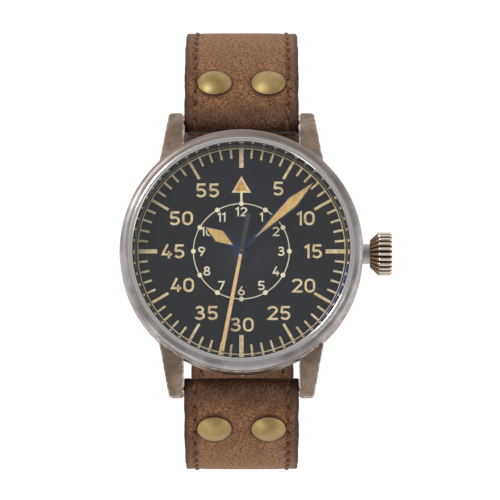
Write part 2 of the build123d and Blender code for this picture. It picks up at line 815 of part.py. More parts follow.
def escapement():
    line = direction(pallet_at, escape_at)
    fork_line = direction(pallet_at, balance_at)
    arm_half = pallet_arm_w / 2
    lever_long = balance_far - roller_r - seat_gap * 2
    fork = plate([
        polar(arm_half, fork_line + 90, pallet_at), polar(arm_half, fork_line - 90, pallet_at),
        polar(lever_long, fork_line, polar(arm_half, fork_line - 90, pallet_at)),
        polar(lever_long, fork_line, polar(arm_half, fork_line + 90, pallet_at))],
        escape_z, escape_z + wheel_thick)
    fork += disc(pallet_arm_w, escape_z, escape_z + wheel_thick, pallet_at)
    for side in (1, -1):
        stone = polar(escape_r + seat_gap + pallet_stone / 2,
                      line + 180 + side * pallet_stone_angle, escape_at)
        arm = direction(pallet_at, stone)
        fork += plate([
            polar(arm_half, arm + 90, pallet_at), polar(arm_half, arm - 90, pallet_at),
            polar(arm_half, arm - 90, stone), polar(arm_half, arm + 90, stone)],
            escape_z, escape_z + wheel_thick)
    fork += disc(arbor_r, escape_z - pallet_drop - pallet_bridge_thick, pivot_high_z, pallet_at)
    fork -= disc(escape_r + seat_gap, 0, plate_z, escape_at)
    balance = ring(balance_r - balance_rim, balance_r, balance_z, balance_z + balance_high,
                   balance_at)
    for turn in range(3):
        middle = polar(balance_r / 2, turn * 120, balance_at)
        balance += Pos(middle[0], middle[1], balance_z + balance_high / 2) * Rot(
            0, 0, turn * 120) * Box(balance_r - balance_rim, balance_arm_w, balance_high)
    balance += disc(roller_r, balance_z, escape_z + wheel_thick + seat_gap, balance_at)
    balance += disc(arbor_r, pivot_low_z, pivot_high_z, balance_at)
    coil_z = holder_z + seat_gap * 2
    balance += disc(collet_r, coil_z, balance_z + balance_high, balance_at)
    parts["pallet_fork"] = fork
    parts["balance_wheel"] = balance
    parts["hairspring"] = Pos(balance_at[0], balance_at[1], coil_z) * extrude(
        spiral(coil_in_r, coil_pitch, coil_turns, coil_thick), amount=coil_high)


def winding_works():
    mesh = direction(crown_wheel_at, barrel_at)
    low = third_z
    high = third_z + ratchet_high
    parts["ratchet_wheel"] = gear(
        ratchet_teeth, ratchet_module, low, high, barrel_at,
        gap_towards(mesh + 180, ratchet_teeth), barrel_arbor_r + fit_gap)
    parts["crown_wheel"] = gear(
        crown_wheel_teeth, ratchet_module, low, high - run_gap, crown_wheel_at, mesh,
        crown_wheel_stud_r + run_gap)
    winding_module = 2 * winding_r / (winding_teeth + 2 * tooth_add_share)
    wheel = gear(winding_teeth, winding_module, 0, winding_long, (0, 0), 0,
                 stem_journal_r + run_gap)
    parts["winding_pinion"] = Pos(winding_x, 0, crown_z) * Rot(0, 90, 0) * wheel
    groove_x = sliding_x + (sliding_long - sliding_groove) / 2
    sliding = rod(sliding_r, sliding_x, sliding_x + sliding_long, z=crown_z)
    groove = rod(sliding_r + cut_over, groove_x, groove_x + sliding_groove, z=crown_z)
    sliding -= groove - rod(sliding_r - sliding_groove, groove_x, groove_x + sliding_groove,
                            z=crown_z)
    hole = stem_square + 2 * run_gap
    sliding -= Pos(sliding_x, 0, crown_z) * Box(4 * sliding_long, hole, hole)
    parts["sliding_pinion"] = sliding


def motion_works():
    pipe_r = center_tube_r + run_gap
    cannon_top = minute_hand_z + hand_thick
    pinion_top = motion_z + motion_thick + seat_gap
    cannon = gear(cannon_teeth, motion_module, motion_z, pinion_top, (0, 0), minute_wheel_angle)
    cannon += disc(cannon_r, motion_z, cannon_top)
    cannon -= disc(pipe_r, 0, crystal_z)
    back = minute_wheel_angle + 180
    minute = gear(minute_teeth, motion_module, motion_z, motion_z + motion_thick,
                  minute_wheel_at, gap_towards(back, minute_teeth))
    hour_low = pinion_top + seat_gap
    hour_high = hour_low + motion_thick
    minute += gear(minute_pinion_teeth, motion_module, motion_z, hour_high + seat_gap,
                   minute_wheel_at, gap_towards(back, minute_pinion_teeth))
    minute -= disc(arbor_r * 2 + run_gap, 0, dial_z, minute_wheel_at)
    hour = gear(hour_teeth, motion_module, hour_low, hour_high, (0, 0), minute_wheel_angle)
    hour += disc(hour_pipe_r, hour_low, hour_hand_z + hand_thick)
    hour -= disc(cannon_r + run_gap, 0, crystal_z)
    parts["cannon_pinion"] = cannon
    parts["minute_wheel"] = minute
    parts["hour_wheel"] = hour


def rotor():
    """A half-round winding weight with a heavy rim, on a bearing above the train bridge."""
    half = Pos(0, -rotor_r, 0) * extrude(Rectangle(4 * rotor_r, 2 * rotor_r), amount=plate_z)
    hub = ring(bearing_r + seat_gap, rotor_hub_r, rotor_web_z, rotor_web_z + rotor_web)
    web = ring(rotor_hub_r - seat_gap, rotor_plate_r + seat_gap, rotor_web_z,
               rotor_web_z + rotor_web)
    rim = ring(rotor_plate_r, rotor_r, rotor_z, rotor_z + rotor_rim_high)
    parts["rotor"] = hub + ((web + rim) & half)
    bearing = disc(bearing_r, rotor_z, bridge_z)
    bearing += disc(bearing_flange_r, rotor_z, rotor_z + bearing_flange_high)
    parts["rotor_bearing"] = bearing


# Hands


def blade(long, wide, wide_at, stub_w, window_from, window_tip, hub_r, turn, low, bore):
    """A lance hand: a narrow stub, a widening to its broadest place and a long point."""
    half = stub_w / 2
    outline = make_face(Polyline(
        (-half, 0), (-half, window_from), (-wide / 2, wide_at), (0, long), (wide / 2, wide_at),
        (half, window_from), (half, 0), close=True))
    window_half = wide / 2 - hand_rim
    window = make_face(Polyline(
        (0, window_from + hand_rim), (-window_half, wide_at), (0, window_tip),
        (window_half, wide_at), close=True))
    face = outline + Circle(hub_r) - Circle(bore) - window
    return Pos(0, 0, low) * Rot(0, 0, -turn) * extrude(face, amount=hand_thick)


def hands():
    parts["hour_hand"] = blade(
        hour_long, hour_wide, hour_wide_at, hour_stub_w, hour_window_from, hour_window_tip,
        hour_hub_r, hour_turn, hour_hand_z, hour_pipe_r + fit_gap)
    parts["minute_hand"] = blade(
        minute_long, minute_wide, minute_wide_at, minute_stub_w, minute_window_from,
        minute_window_tip, minute_hub_r, minute_turn, minute_hand_z, cannon_r + fit_gap)
    needle = make_face(Polyline(
        (-second_root_w / 2, 0), (-second_tip_w / 2, second_long), (second_tip_w / 2, second_long),
        (second_root_w / 2, 0), (second_tail_w / 2, -second_tail_long),
        (-second_tail_w / 2, -second_tail_long), close=True))
    face = needle + Circle(second_hub_r) - Circle(arbor_r + fit_gap)
    parts["second_hand"] = Pos(0, 0, second_hand_z) * Rot(0, 0, -second_turn) * extrude(
        face, amount=hand_thick)


# Strap: a route runs outward (u) and down (z) from a spring bar. Its legs are (length, radius)
# pairs, and a radius of 0 is a straight leg. Places on it are (u, z, heading).


def step(place, length, radius):
    u, z, heading = place
    if radius == 0:
        return (u + length * cos(heading), z + length * sin(heading), heading)
    turned_to = heading - length / radius
    return (
        u + radius * (sin(heading) - sin(turned_to)),
        z - radius * (cos(heading) - cos(turned_to)), turned_to)


def place_at(route, run):
    start, legs = route
    place = start
    for length, radius in legs:
        part = min(run, length)
        place = step(place, part, radius)
        run -= part
        if run <= 0:
            break
    return place


def beside(place, side):
    """The point a distance outside a place on the route."""
    u, z, heading = place
    return (u - side * sin(heading), z + side * cos(heading))


def layer(route, low, high, first, last, width):
    """The space between two distances from the route, over a stretch of it."""
    legs = route[1]
    stops = [first]
    run = 0
    for length, _ in legs:
        run += length
        if first < run < last:
            stops.append(run)
    stops.append(last)
    outer = []
    inner = []
    for begin, end in zip(stops, stops[1:]):
        a = place_at(route, begin)
        m = place_at(route, (begin + end) / 2)
        b = place_at(route, end)
        for edges, side in ((outer, high), (inner, low)):
            if abs(a[2] - b[2]) < radians(fit_gap):
                edges.append(Line(beside(a, side), beside(b, side)))
            else:
                edges.append(ThreePointArc(beside(a, side), beside(m, side), beside(b, side)))
    a = place_at(route, first)
    b = place_at(route, last)
    ends = [Line(beside(a, low), beside(a, high)), Line(beside(b, high), beside(b, low))]
    face = Plane.YZ * make_face(Curve() + [*outer, *inner, *ends])
    return extrude(face, amount=width / 2, both=True)


def across(route, run, side, r, length):
    """A cylinder square to the strap's face, from a distance outside the route outward."""
    place = place_at(route, run)
    u, z = beside(place, side)
    frame = Plane(origin=(0, u, z), x_dir=(1, 0, 0),
                  z_dir=(0, -sin(place[2]), cos(place[2])))
    return frame * (Pos(0, 0, length / 2) * Cylinder(r, length))


def bar_rod(place, r, half):
    return rod(r, -half, half, place[0], place[1])


def tapered(shape):
    """Cuts a strap piece to the width that narrows from the lugs downward."""
    wide = strap_w / 2
    slim = strap_end_w / 2
    reach = 2 * long_6
    prism = Plane.XZ * make_face(Polyline(
        (-wide, reach), (-wide, taper_high_z), (-slim, taper_low_z), (-slim, -reach),
        (slim, -reach), (slim, taper_low_z), (wide, taper_high_z), (wide, reach), close=True))
    return shape & extrude(prism, amount=reach, both=True)


def rivet(route, half):
    """A domed head, a shank through both leathers and a flat head behind them."""
    place = place_at(route, rivet_run)
    u, z = beside(place, leather_out + glue_gap)
    frame = Plane(origin=(half, u, z), x_dir=(1, 0, 0), z_dir=(0, -sin(place[2]), cos(place[2])))
    dome = turned([(0, 0), *facets(dome_arc(rivet_r, 0, rivet_dome), rivet_steps)])
    sag = rivet_back_r ** 2 / (2 * bend_6)
    depth = leather_out + leather_in + 2 * glue_gap + sag
    shank = Pos(0, 0, -depth / 2) * Cylinder(rivet_shank_r, depth)
    back = Pos(0, 0, -depth - rivet_back_high / 2) * Cylinder(rivet_back_r, rivet_back_high)
    return frame * (dome + shank + back)


def start_place(slope):
    return (bar_y, bar_z, -radians(slope))


bend_12_long = bend_12 * radians(90 - slope_12)
fall_6_long = fall_6 * (radians(90 + lean_6 - slope_6) - head_6 / bend_6)
corner_6_long = corner_6 * radians(90 - lean_6)
route_12 = (start_place(slope_12), [
    (bend_12_long, bend_12), (long_12 - bend_12_long, corner_12)])
route_6 = (start_place(slope_6), [
    (head_6, bend_6), (fall_6_long, fall_6), (straight_6, 0), (corner_6_long, corner_6),
    (long_6 - head_6 - fall_6_long - straight_6 - corner_6_long, 0)])
buckle_place = place_at(route_12, long_12)


def leathers(route, last):
    """The outer leather with its head wrapped round the spring bar, and the lining."""
    outer = layer(route, glue_gap, leather_out, 0, last, strap_w)
    outer += bar_rod(route[0], wrap_r, strap_w / 2)
    outer -= bar_rod(route[0], bar_r + run_gap, strap_w)
    lining = layer(route, -leather_in, 0, lining_start, last, strap_w)
    return tapered(outer), tapered(lining)


def strap_12():
    outer, lining = leathers(route_12, long_12)
    slot = tongue_w + 2 * tongue_slot_gap
    outer += bar_rod(buckle_place, wrap_r, strap_end_w / 2)
    lining -= bar_rod(buckle_place, wrap_r + seat_gap, strap_w)
    bar_hole = bar_rod(buckle_place, bar_r + run_gap, strap_w)
    opening = layer(route_12, -leather_out * 2, leather_out * 2, long_12 - tongue_slot_long,
                    long_12, slot)
    opening += bar_rod(buckle_place, wrap_r + cut_over, slot / 2)
    outer -= bar_hole + opening
    lining -= opening
    for half in (-rivet_half, rivet_half):
        hole = Pos(half, 0, 0) * across(
            route_12, rivet_run, -2 * leather_in, rivet_shank_r + seat_gap, 3 * leather_out)
        outer -= hole
        lining -= hole
    parts["strap_12_outer"] = outer
    parts["strap_12_lining"] = lining
    parts["rivets_12"] = Compound([rivet(route_12, -rivet_half), rivet(route_12, rivet_half)])


def strap_6():
    outer, lining = leathers(route_6, long_6)
    tip = place_at(route_6, long_6)
    half = strap_end_w / 2
    back_u = tip[0] + tip_deep
    rounded = make_face(Curve() + [
        Line((-strap_w, back_u), (-half, back_u)), ThreePointArc(
            (-half, back_u), (0, tip[0]), (half, back_u)),
        Line((half, back_u), (strap_w, back_u)), Line((strap_w, back_u), (strap_w, tip[0] - strap_w)),
        Line((strap_w, tip[0] - strap_w), (-strap_w, tip[0] - strap_w)),
        Line((-strap_w, tip[0] - strap_w), (-strap_w, back_u))])
    corner = Pos(0, 0, tip[1] - leather_out * 2) * extrude(rounded, amount=leather_out * 4)
    cuts = [corner]
    for hole in range(hole_count):
        run = long_6 - hole_first - hole * hole_pitch
        cuts.append(across(route_6, run, -2 * leather_in, hole_r, 3 * leather_out))
    for side in (-rivet_half, rivet_half):
        cuts.append(Pos(side, 0, 0) * across(
            route_6, rivet_run, -2 * leather_in, rivet_shank_r + seat_gap, 3 * leather_out))
    for cut in cuts:
        outer -= cut
        lining -= cut
    rivets = Compound([rivet(route_6, -rivet_half), rivet(route_6, rivet_half)])
    parts["strap_6_outer"] = mirror(outer, about=Plane.XZ)
    parts["strap_6_lining"] = mirror(lining, about=Plane.XZ)
    parts["rivets_6"] = mirror(rivets, about=Plane.XZ)


def spring_bar(side):
    half = lug_gap / 2
    body = rod(bar_r, -half + bar_end_gap, half - bar_end_gap, side * bar_y, bar_z)
    return body + rod(bar_tip_r, -half - bar_tip_long, half + bar_tip_long, side * bar_y, bar_z)


def width_at(z):
    """The strap's width at a height."""
    down = (taper_high_z - z) / (taper_high_z - taper_low_z)
    return strap_w - (strap_w - strap_end_w) * min(max(down, 0), 1)


def keeper(run):
    """A leather loop with room for the strap and its tail."""
    low = -leather_in - keeper_gap
    high = leather_out + keeper_gap + leather_out + leather_in + keeper_gap
    last = run + keeper_w
    inner_w = width_at(place_at(route_12, run)[1]) + 2 * keeper_gap
    body = layer(route_12, low - keeper_wall, high + keeper_wall, run, last,
                 inner_w + 2 * keeper_wall)
    return body - layer(route_12, low, high, run - cut_over, last + cut_over, inner_w)


def buckle():
    y, z, heading = buckle_place
    frame = Plane(origin=(0, y, z), x_dir=(1, 0, 0), z_dir=(0, -sin(heading), cos(heading)))
    inner_half = buckle_half - buckle_ear_w
    outline = Pos(0, buckle_long / 2) * RectangleRounded(
        2 * buckle_half, buckle_long * 2, buckle_corner)
    outline &= Pos(0, buckle_long / 2) * Rectangle(4 * buckle_half, buckle_long)
    window_long = buckle_long - buckle_front
    outline -= Pos(0, window_long / 2 - cut_over) * Rectangle(
        2 * inner_half, window_long + 2 * cut_over)
    body = Pos(0, 0, -buckle_thick / 2) * extrude(outline, amount=buckle_thick)
    for side in (1, -1):
        middle = side * (buckle_half - buckle_ear_w / 2)
        body += rod(buckle_ear_r, middle - buckle_ear_w / 2, middle + buckle_ear_w / 2)
    bar_half = buckle_half - buckle_ear_w / 4
    body -= rod(bar_r + fit_gap, -bar_half, bar_half)
    rest = buckle_thick / 2 + run_gap
    tip_long = buckle_long + tongue_over
    eye_low = bar_r + 2 * run_gap
    arm = make_face(Polyline(
        (0, eye_low), (window_long - cut_over / 2, rest), (tip_long, rest),
        (tip_long, rest + tongue_thick / 2), (window_long, rest + tongue_thick),
        (0, tongue_eye_r), close=True))
    tongue = extrude(Plane.YZ * arm, amount=tongue_w / 2, both=True)
    tongue += rod(tongue_eye_r, -tongue_w / 2, tongue_w / 2)
    tongue -= rod(bar_r + run_gap, -tongue_w, tongue_w)
    parts["buckle_frame"] = frame * body
    parts["buckle_bar"] = frame * rod(bar_r, -bar_half + fit_gap, bar_half - fit_gap)
    parts["buckle_tongue"] = frame * tongue


def strap():
    strap_12()
    strap_6()
    parts["spring_bar_12"] = spring_bar(1)
    parts["spring_bar_6"] = spring_bar(-1)
    parts["fixed_keeper"] = keeper(fixed_keeper_run)
    parts["sliding_keeper"] = keeper(sliding_keeper_run)
    buckle()


for build in (
        case, crown_pieces, plates, clamps, train, escapement, winding_works, motion_works,
        rotor, hands, strap):
    build()

for name, shape in parts.items():
    export_step(shape, f"parts/{name}.step")
print(len(parts), "sub-parts")
print("barrel axis", barrel_at, "third", third_at, "escape", escape_at)
print("pallet", pallet_at, "balance", balance_at, "minute wheel", minute_wheel_at)
print("buckle pivot", buckle_place, "tail", place_at(route_6, long_6))
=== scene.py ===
# %% [markdown]
# # A pilot's watch on a riveted leather strap
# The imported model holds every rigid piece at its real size, so this lesson adds only what the eye
# reads as finish: light, metal, paint, luminous paste, glass and leather. The first cell loads that
# model as a fixed frame. Everything after it is placed by the frame's own boxes and never moves it.

# %% Load the frame
import json
from collections import namedtuple
from math import atan2, cos, pi, radians, sin, sqrt

import bmesh
import bpy
from mathutils import Matrix, Vector

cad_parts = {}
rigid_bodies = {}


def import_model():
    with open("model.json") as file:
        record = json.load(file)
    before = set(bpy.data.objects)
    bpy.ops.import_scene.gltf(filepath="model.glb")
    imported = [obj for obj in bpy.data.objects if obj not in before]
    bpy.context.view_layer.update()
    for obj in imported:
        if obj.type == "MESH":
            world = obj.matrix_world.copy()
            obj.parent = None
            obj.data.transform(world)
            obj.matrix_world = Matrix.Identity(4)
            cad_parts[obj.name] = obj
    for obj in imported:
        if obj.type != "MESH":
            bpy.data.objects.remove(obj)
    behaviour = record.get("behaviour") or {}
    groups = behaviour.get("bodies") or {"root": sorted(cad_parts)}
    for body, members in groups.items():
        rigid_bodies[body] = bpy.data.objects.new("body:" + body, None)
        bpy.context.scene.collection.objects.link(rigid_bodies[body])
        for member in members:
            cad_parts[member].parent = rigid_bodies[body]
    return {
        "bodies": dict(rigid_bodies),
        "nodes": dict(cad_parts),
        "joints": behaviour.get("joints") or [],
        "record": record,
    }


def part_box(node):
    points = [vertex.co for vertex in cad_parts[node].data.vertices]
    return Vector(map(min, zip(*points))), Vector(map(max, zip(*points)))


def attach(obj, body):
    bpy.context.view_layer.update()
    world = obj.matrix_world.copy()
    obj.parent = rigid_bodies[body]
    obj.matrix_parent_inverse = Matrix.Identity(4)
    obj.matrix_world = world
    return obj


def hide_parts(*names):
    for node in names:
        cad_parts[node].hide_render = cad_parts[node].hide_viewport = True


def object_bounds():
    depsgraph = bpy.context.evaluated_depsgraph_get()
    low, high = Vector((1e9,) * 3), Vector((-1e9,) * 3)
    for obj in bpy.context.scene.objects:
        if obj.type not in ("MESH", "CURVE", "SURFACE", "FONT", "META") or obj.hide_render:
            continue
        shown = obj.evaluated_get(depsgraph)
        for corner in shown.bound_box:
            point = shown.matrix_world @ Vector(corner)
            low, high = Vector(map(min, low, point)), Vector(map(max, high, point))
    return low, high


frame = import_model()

MM = 0.001
cad_nodes = frame["nodes"]
cad_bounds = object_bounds()
print(len(cad_nodes), "nodes, box in mm:",
      [[round(c / MM, 1) for c in corner] for corner in cad_bounds])

# %% [markdown]
# ## The camera
# A product photographer stands well back with a long lens, so that the case stays round and the
# lugs keep their true lengths. The camera here is 1.3 m away and about seven degrees below square,
# on the 6 o'clock side. Its matrix is written out from three axes, because an aim that points
# almost straight down leaves a tracking constraint free to roll.

# %% Camera
CAMERA_FAR = 1.3
CAMERA_TILT = radians(7.0)
CAMERA_YAW = radians(-0.1)
LENS = 543.0
SENSOR = 36.0
AIM_X = 1.48 * MM
AIM_Y = 0.28 * MM
NORTH = Vector((0, 1, 0))           # towards 12 o'clock

dial_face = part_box("dial")[1].z


def facing(place, aim, up):
    """The matrix of something at place that looks at aim with its top towards up."""
    back = (place - aim).normalized()
    right = up.cross(back).normalized()
    turn = Matrix((right, back.cross(right), back)).transposed().to_4x4()
    return Matrix.Translation(place) @ turn


aim = Vector((AIM_X, AIM_Y, dial_face))
sight = Vector((-sin(CAMERA_YAW), -sin(CAMERA_TILT) * cos(CAMERA_YAW),
                cos(CAMERA_TILT) * cos(CAMERA_YAW)))
camera_data = bpy.data.cameras.new("studio_camera")
camera_data.lens = LENS
camera_data.sensor_width = SENSOR
camera_data.clip_start = 0.05
camera = bpy.data.objects.new("studio_camera", camera_data)
camera.matrix_world = facing(aim + CAMERA_FAR * sight, aim, NORTH)
bpy.context.scene.collection.objects.link(camera)
bpy.context.scene.camera = camera
bpy.context.scene.view_settings.view_transform = "Standard"
print("camera at", [round(c, 3) for c in camera.location])

# %% [markdown]
# ## Materials as small chains of nodes
# Every finish below is a few textures joined to one Principled shader. `Finish` keeps that short:
# it starts from the piece's own coordinates in millimetres, so a noise of scale 2 has two features
# to the millimetre on every piece. A bump height is in millimetres too.

# %% The node helper


class Finish:
    """One material, and the few node moves that the finishes here are built from."""

    def __init__(self, name, roughness, metallic=0.0, uv=False):
        self.material = bpy.data.materials.new(name)
        self.material.use_nodes = True
        self.tree = self.material.node_tree
        self.shader = self.tree.nodes["Principled BSDF"]
        self.set("Roughness", roughness)
        self.set("Metallic", metallic)
        source = self.add("TexCoord")
        if uv:
            self.place = source.outputs["UV"]
        else:
            scaled = self.add("VectorMath", {"Scale": 1 / MM}, operation="SCALE")
            self.join(source.outputs["Object"], scaled.inputs[0])
            self.place = scaled.outputs["Vector"]

    def add(self, kind, values=None, **settings):
        node = self.tree.nodes.new("ShaderNode" + kind)
        for key, value in settings.items():
            setattr(node, key, value)
        for key, value in (values or {}).items():
            node.inputs[key].default_value = value
        return node

    def join(self, output, target):
        self.tree.links.new(output, target)

    def set(self, key, value):
        self.shader.inputs[key].default_value = value

    def feed(self, key, output):
        self.join(output, self.shader.inputs[key])

    def surface(self, share, first, second):
        """Sends a mix of two shaders to the surface, in place of the Principled one alone."""
        either = self.add("MixShader")
        for slot, output in enumerate((share, first, second)):
            self.join(output, either.inputs[slot])
        self.join(either.outputs[0], self.tree.nodes["Material Output"].inputs["Surface"])

    def noise(self, scale, detail=3.0, rough=0.55, place=None, lumps=0.0):
        node = self.add("TexNoise", {
            "Scale": scale, "Detail": detail, "Roughness": rough, "Distortion": lumps})
        self.join(place or self.place, node.inputs["Vector"])
        return node.outputs["Fac"]

    def cells(self, scale, feature="F1", place=None):
        node = self.add("TexVoronoi", {"Scale": scale}, feature=feature)
        self.join(place or self.place, node.inputs["Vector"])
        return node.outputs["Distance"]

    def stretched(self, x=1.0, y=1.0, z=1.0, turn=0.0):
        """The coordinates scaled along each axis and turned, for grain, brushing and gradients."""
        node = self.add("Mapping", {"Scale": (x, y, z), "Rotation": (0, 0, turn)})
        self.join(self.place, node.inputs["Vector"])
        return node.outputs["Vector"]

    def axis(self, letter, place=None):
        node = self.add("SeparateXYZ")
        self.join(place or self.place, node.inputs[0])
        return node.outputs[letter]

    def radius(self, centre=(0.0, 0.0), place=None):
        """The distance from a line along Z through a centre."""
        moved = self.add("VectorMath", {1: (centre[0], centre[1], 0.0)}, operation="SUBTRACT")
        self.join(place or self.place, moved.inputs[0])
        flat = self.add("VectorMath", {1: (1.0, 1.0, 0.0)}, operation="MULTIPLY")
        self.join(moved.outputs[0], flat.inputs[0])
        far = self.add("VectorMath", operation="LENGTH")
        self.join(flat.outputs[0], far.inputs[0])
        return far.outputs["Value"]

    def sum(self, operation, *values):
        """One step of arithmetic on outputs or plain numbers."""
        node = self.add("Math", operation=operation)
        for slot, value in enumerate(values):
            if isinstance(value, (int, float)):
                node.inputs[slot].default_value = value
            else:
                self.join(value, node.inputs[slot])
        return node.outputs[0]

    def ramp(self, output, low, high, start=0.0, end=1.0):
        """Reads an output between two values as a number from start to end."""
        limits = {"From Min": low, "From Max": high, "To Min": start, "To Max": end}
        node = self.add("MapRange", limits, interpolation_type="SMOOTHSTEP")
        self.join(output, node.inputs["Value"])
        return node.outputs["Result"]

    def blend(self, factor, a, b):
        """Mixes two colours, each an output or a tuple."""
        node = self.add("Mix", data_type="RGBA")
        for slot, value in ((0, factor), (6, a), (7, b)):
            if isinstance(value, (int, float)):
                node.inputs[slot].default_value = value
            elif isinstance(value, tuple):
                node.inputs[slot].default_value = (*value, 1.0)
            else:
                self.join(value, node.inputs[slot])
        return node.outputs[2]

    def tones(self, factor, first, second):
        """Mixes two web colours."""
        return self.blend(factor, tint(first), tint(second))

    def over(self, colour, mask, share, code):
        """Lays a web colour over another where a mask is high, as strongly as a share says."""
        return self.blend(self.sum("MULTIPLY", mask, share), colour, tint(code))

    def relief(self, output, height, before=None):
        """A bump of a height in millimetres, laid over an earlier one."""
        node = self.add("Bump", {"Strength": 1.0, "Distance": height * MM})
        self.join(output, node.inputs["Height"])
        if before is not None:
            self.join(before, node.inputs["Normal"])
        self.join(node.outputs["Normal"], self.shader.inputs["Normal"])
        return node.outputs["Normal"]


def tint(code):
    """A colour as a web code, in the linear numbers that a shader takes."""
    parts = [int(code[i:i + 2], 16) / 255 for i in (0, 2, 4)]
    return tuple(c / 12.92 if c <= 0.04045 else ((c + 0.055) / 1.055) ** 2.4 for c in parts)


def wear(node_name, finish):
    """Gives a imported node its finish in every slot."""
    mesh = cad_nodes[node_name].data
    mesh.materials.clear()
    mesh.materials.append(finish.material)


print("the node helper is ready")

# %% [markdown]
# ## Floor and light
# The watch stands on the low bend of its own strap, on a white table. One soft lamp at the upper
# left throws the short shadows seen under the hands and rivets, and the sky fills the rest: paler
# at the horizon than overhead, which is what gives polished edges something bright to reflect.
# The floor reads as plain white to the eye, to gloss and through glass, and still takes a shadow.

# %% Floor
FLOOR_HALF = 4.0
FLOOR_SHADOW = 0.22
FLOOR_GLOW = 1.22
PAPER_GREY = (0.86, 0.86, 0.86)
PAPER_WHITE = (0.9, 0.9, 0.9)

floor_z = cad_bounds[0][2]
floor_mesh = bmesh.new()
bmesh.ops.create_grid(floor_mesh, x_segments=1, y_segments=1, size=FLOOR_HALF)
bmesh.ops.translate(floor_mesh, verts=floor_mesh.verts, vec=(0, 0, floor_z))
floor_data = bpy.data.meshes.new("floor")
floor_mesh.to_mesh(floor_data)
floor_mesh.free()
floor = bpy.data.objects.new("floor", floor_data)
bpy.context.scene.collection.objects.link(floor)

paper = Finish("white_table", 0.9)
paper.feed("Base Color", paper.blend(paper.noise(0.02), PAPER_GREY, PAPER_WHITE))
glow = paper.add("Emission", {"Color": (1.0, 1.0, 1.0, 1.0), "Strength": FLOOR_GLOW})
rays = paper.add("LightPath")
seen = paper.sum("MAXIMUM", rays.outputs["Is Camera Ray"], rays.outputs["Is Glossy Ray"])
seen = paper.sum("MAXIMUM", seen, rays.outputs["Is Transmission Ray"])
share = paper.sum("MULTIPLY", seen, 1.0 - FLOOR_SHADOW)
paper.surface(share, paper.shader.outputs[0], glow.outputs[0])
floor_data.materials.append(paper.material)
print("floor at", round(floor_z / MM, 1), "mm")

# %% [markdown]
# ## Sky and lamps
# A gradient sky gives metal its long soft reflections: bright near the horizon and greyer overhead,
# where the camera stands. One soft box at the upper left is the key. A weak one at the right lifts
# the crown's side and another at the lower left rounds the lower rivets, as white cards would on a
# photographer's table.

# %% Sky and lamps
SKY_LEVEL = 1.0
SKY_HORIZON = (0.92, 0.93, 0.95)
SKY_TOP = (0.46, 0.47, 0.49)
SKY_LOW = 0.25                      # heights on a ball of radius 1, between which it darkens
SKY_HIGH = 0.95
KEY_WATTS = 4.6
KEY_PLACE = Vector((-0.55, 0.55, 0.75))
KEY_SIZE = 0.22
RIM_WATTS = 1.0
RIM_PLACE = Vector((0.7, -0.2, 0.35))
RIM_SIZE = 0.4
FILL_WATTS = 1.5
FILL_PLACE = Vector((-0.6, -0.7, 0.45))
FILL_SIZE = 0.25

world = bpy.data.worlds.new("studio")
world.use_nodes = True
bpy.context.scene.world = world
sky = world.node_tree
towards = sky.nodes.new("ShaderNodeTexCoord")
split = sky.nodes.new("ShaderNodeSeparateXYZ")
height = sky.nodes.new("ShaderNodeMapRange")
height.interpolation_type = "SMOOTHSTEP"
height.inputs["From Min"].default_value = SKY_LOW
height.inputs["From Max"].default_value = SKY_HIGH
shade = sky.nodes.new("ShaderNodeMix")
shade.data_type = "RGBA"
shade.inputs[6].default_value = (*SKY_HORIZON, 1.0)
shade.inputs[7].default_value = (*SKY_TOP, 1.0)
sky.links.new(towards.outputs["Generated"], split.inputs[0])
sky.links.new(split.outputs["Z"], height.inputs["Value"])
sky.links.new(height.outputs["Result"], shade.inputs[0])
sky.links.new(shade.outputs[2], sky.nodes["Background"].inputs["Color"])
sky.nodes["Background"].inputs["Strength"].default_value = SKY_LEVEL


def lamp(name, watts, place, size):
    """A square soft box that looks at the dial."""
    data = bpy.data.lights.new(name, "AREA")
    data.energy = watts
    data.size = size
    item = bpy.data.objects.new(name, data)
    item.matrix_world = facing(place, aim, NORTH)
    bpy.context.scene.collection.objects.link(item)


lamp("key_lamp", KEY_WATTS, KEY_PLACE, KEY_SIZE)
lamp("rim_lamp", RIM_WATTS, RIM_PLACE, RIM_SIZE)
lamp("fill_lamp", FILL_WATTS, FILL_PLACE, FILL_SIZE)
print("three lamps and a sky")

# %% [markdown]
# ## Weathered steel
# The case is bead-blasted steel that has been rubbed back by hand: a matte grey with brown and
# rusty patches, and pale metal where edges have been touched. Three noises do it, a broad one for
# the patches, a middle one for scuffs and a fine one for the grain. Pale edges come from a rounded
# normal compared with the true one, which differ only close to an edge, and one more noise breaks
# them into chips.

# %% Weathered steel
FLAT_MATCH = 0.995          # how well the two normals agree on a face, and on a worn edge
EDGE_MATCH = 0.9
EDGE_SAMPLES = 4


def worn_edges(finish, reach):
    """A number near 1 within a reach in millimetres of a sharp edge."""
    rounded = finish.add("Bevel", {"Radius": reach * MM}, samples=EDGE_SAMPLES)
    true = finish.add("NewGeometry")
    match = finish.add("VectorMath", operation="DOT_PRODUCT")
    finish.join(rounded.outputs["Normal"], match.inputs[0])
    finish.join(true.outputs["True Normal"], match.inputs[1])
    return finish.ramp(match.outputs["Value"], FLAT_MATCH, EDGE_MATCH)


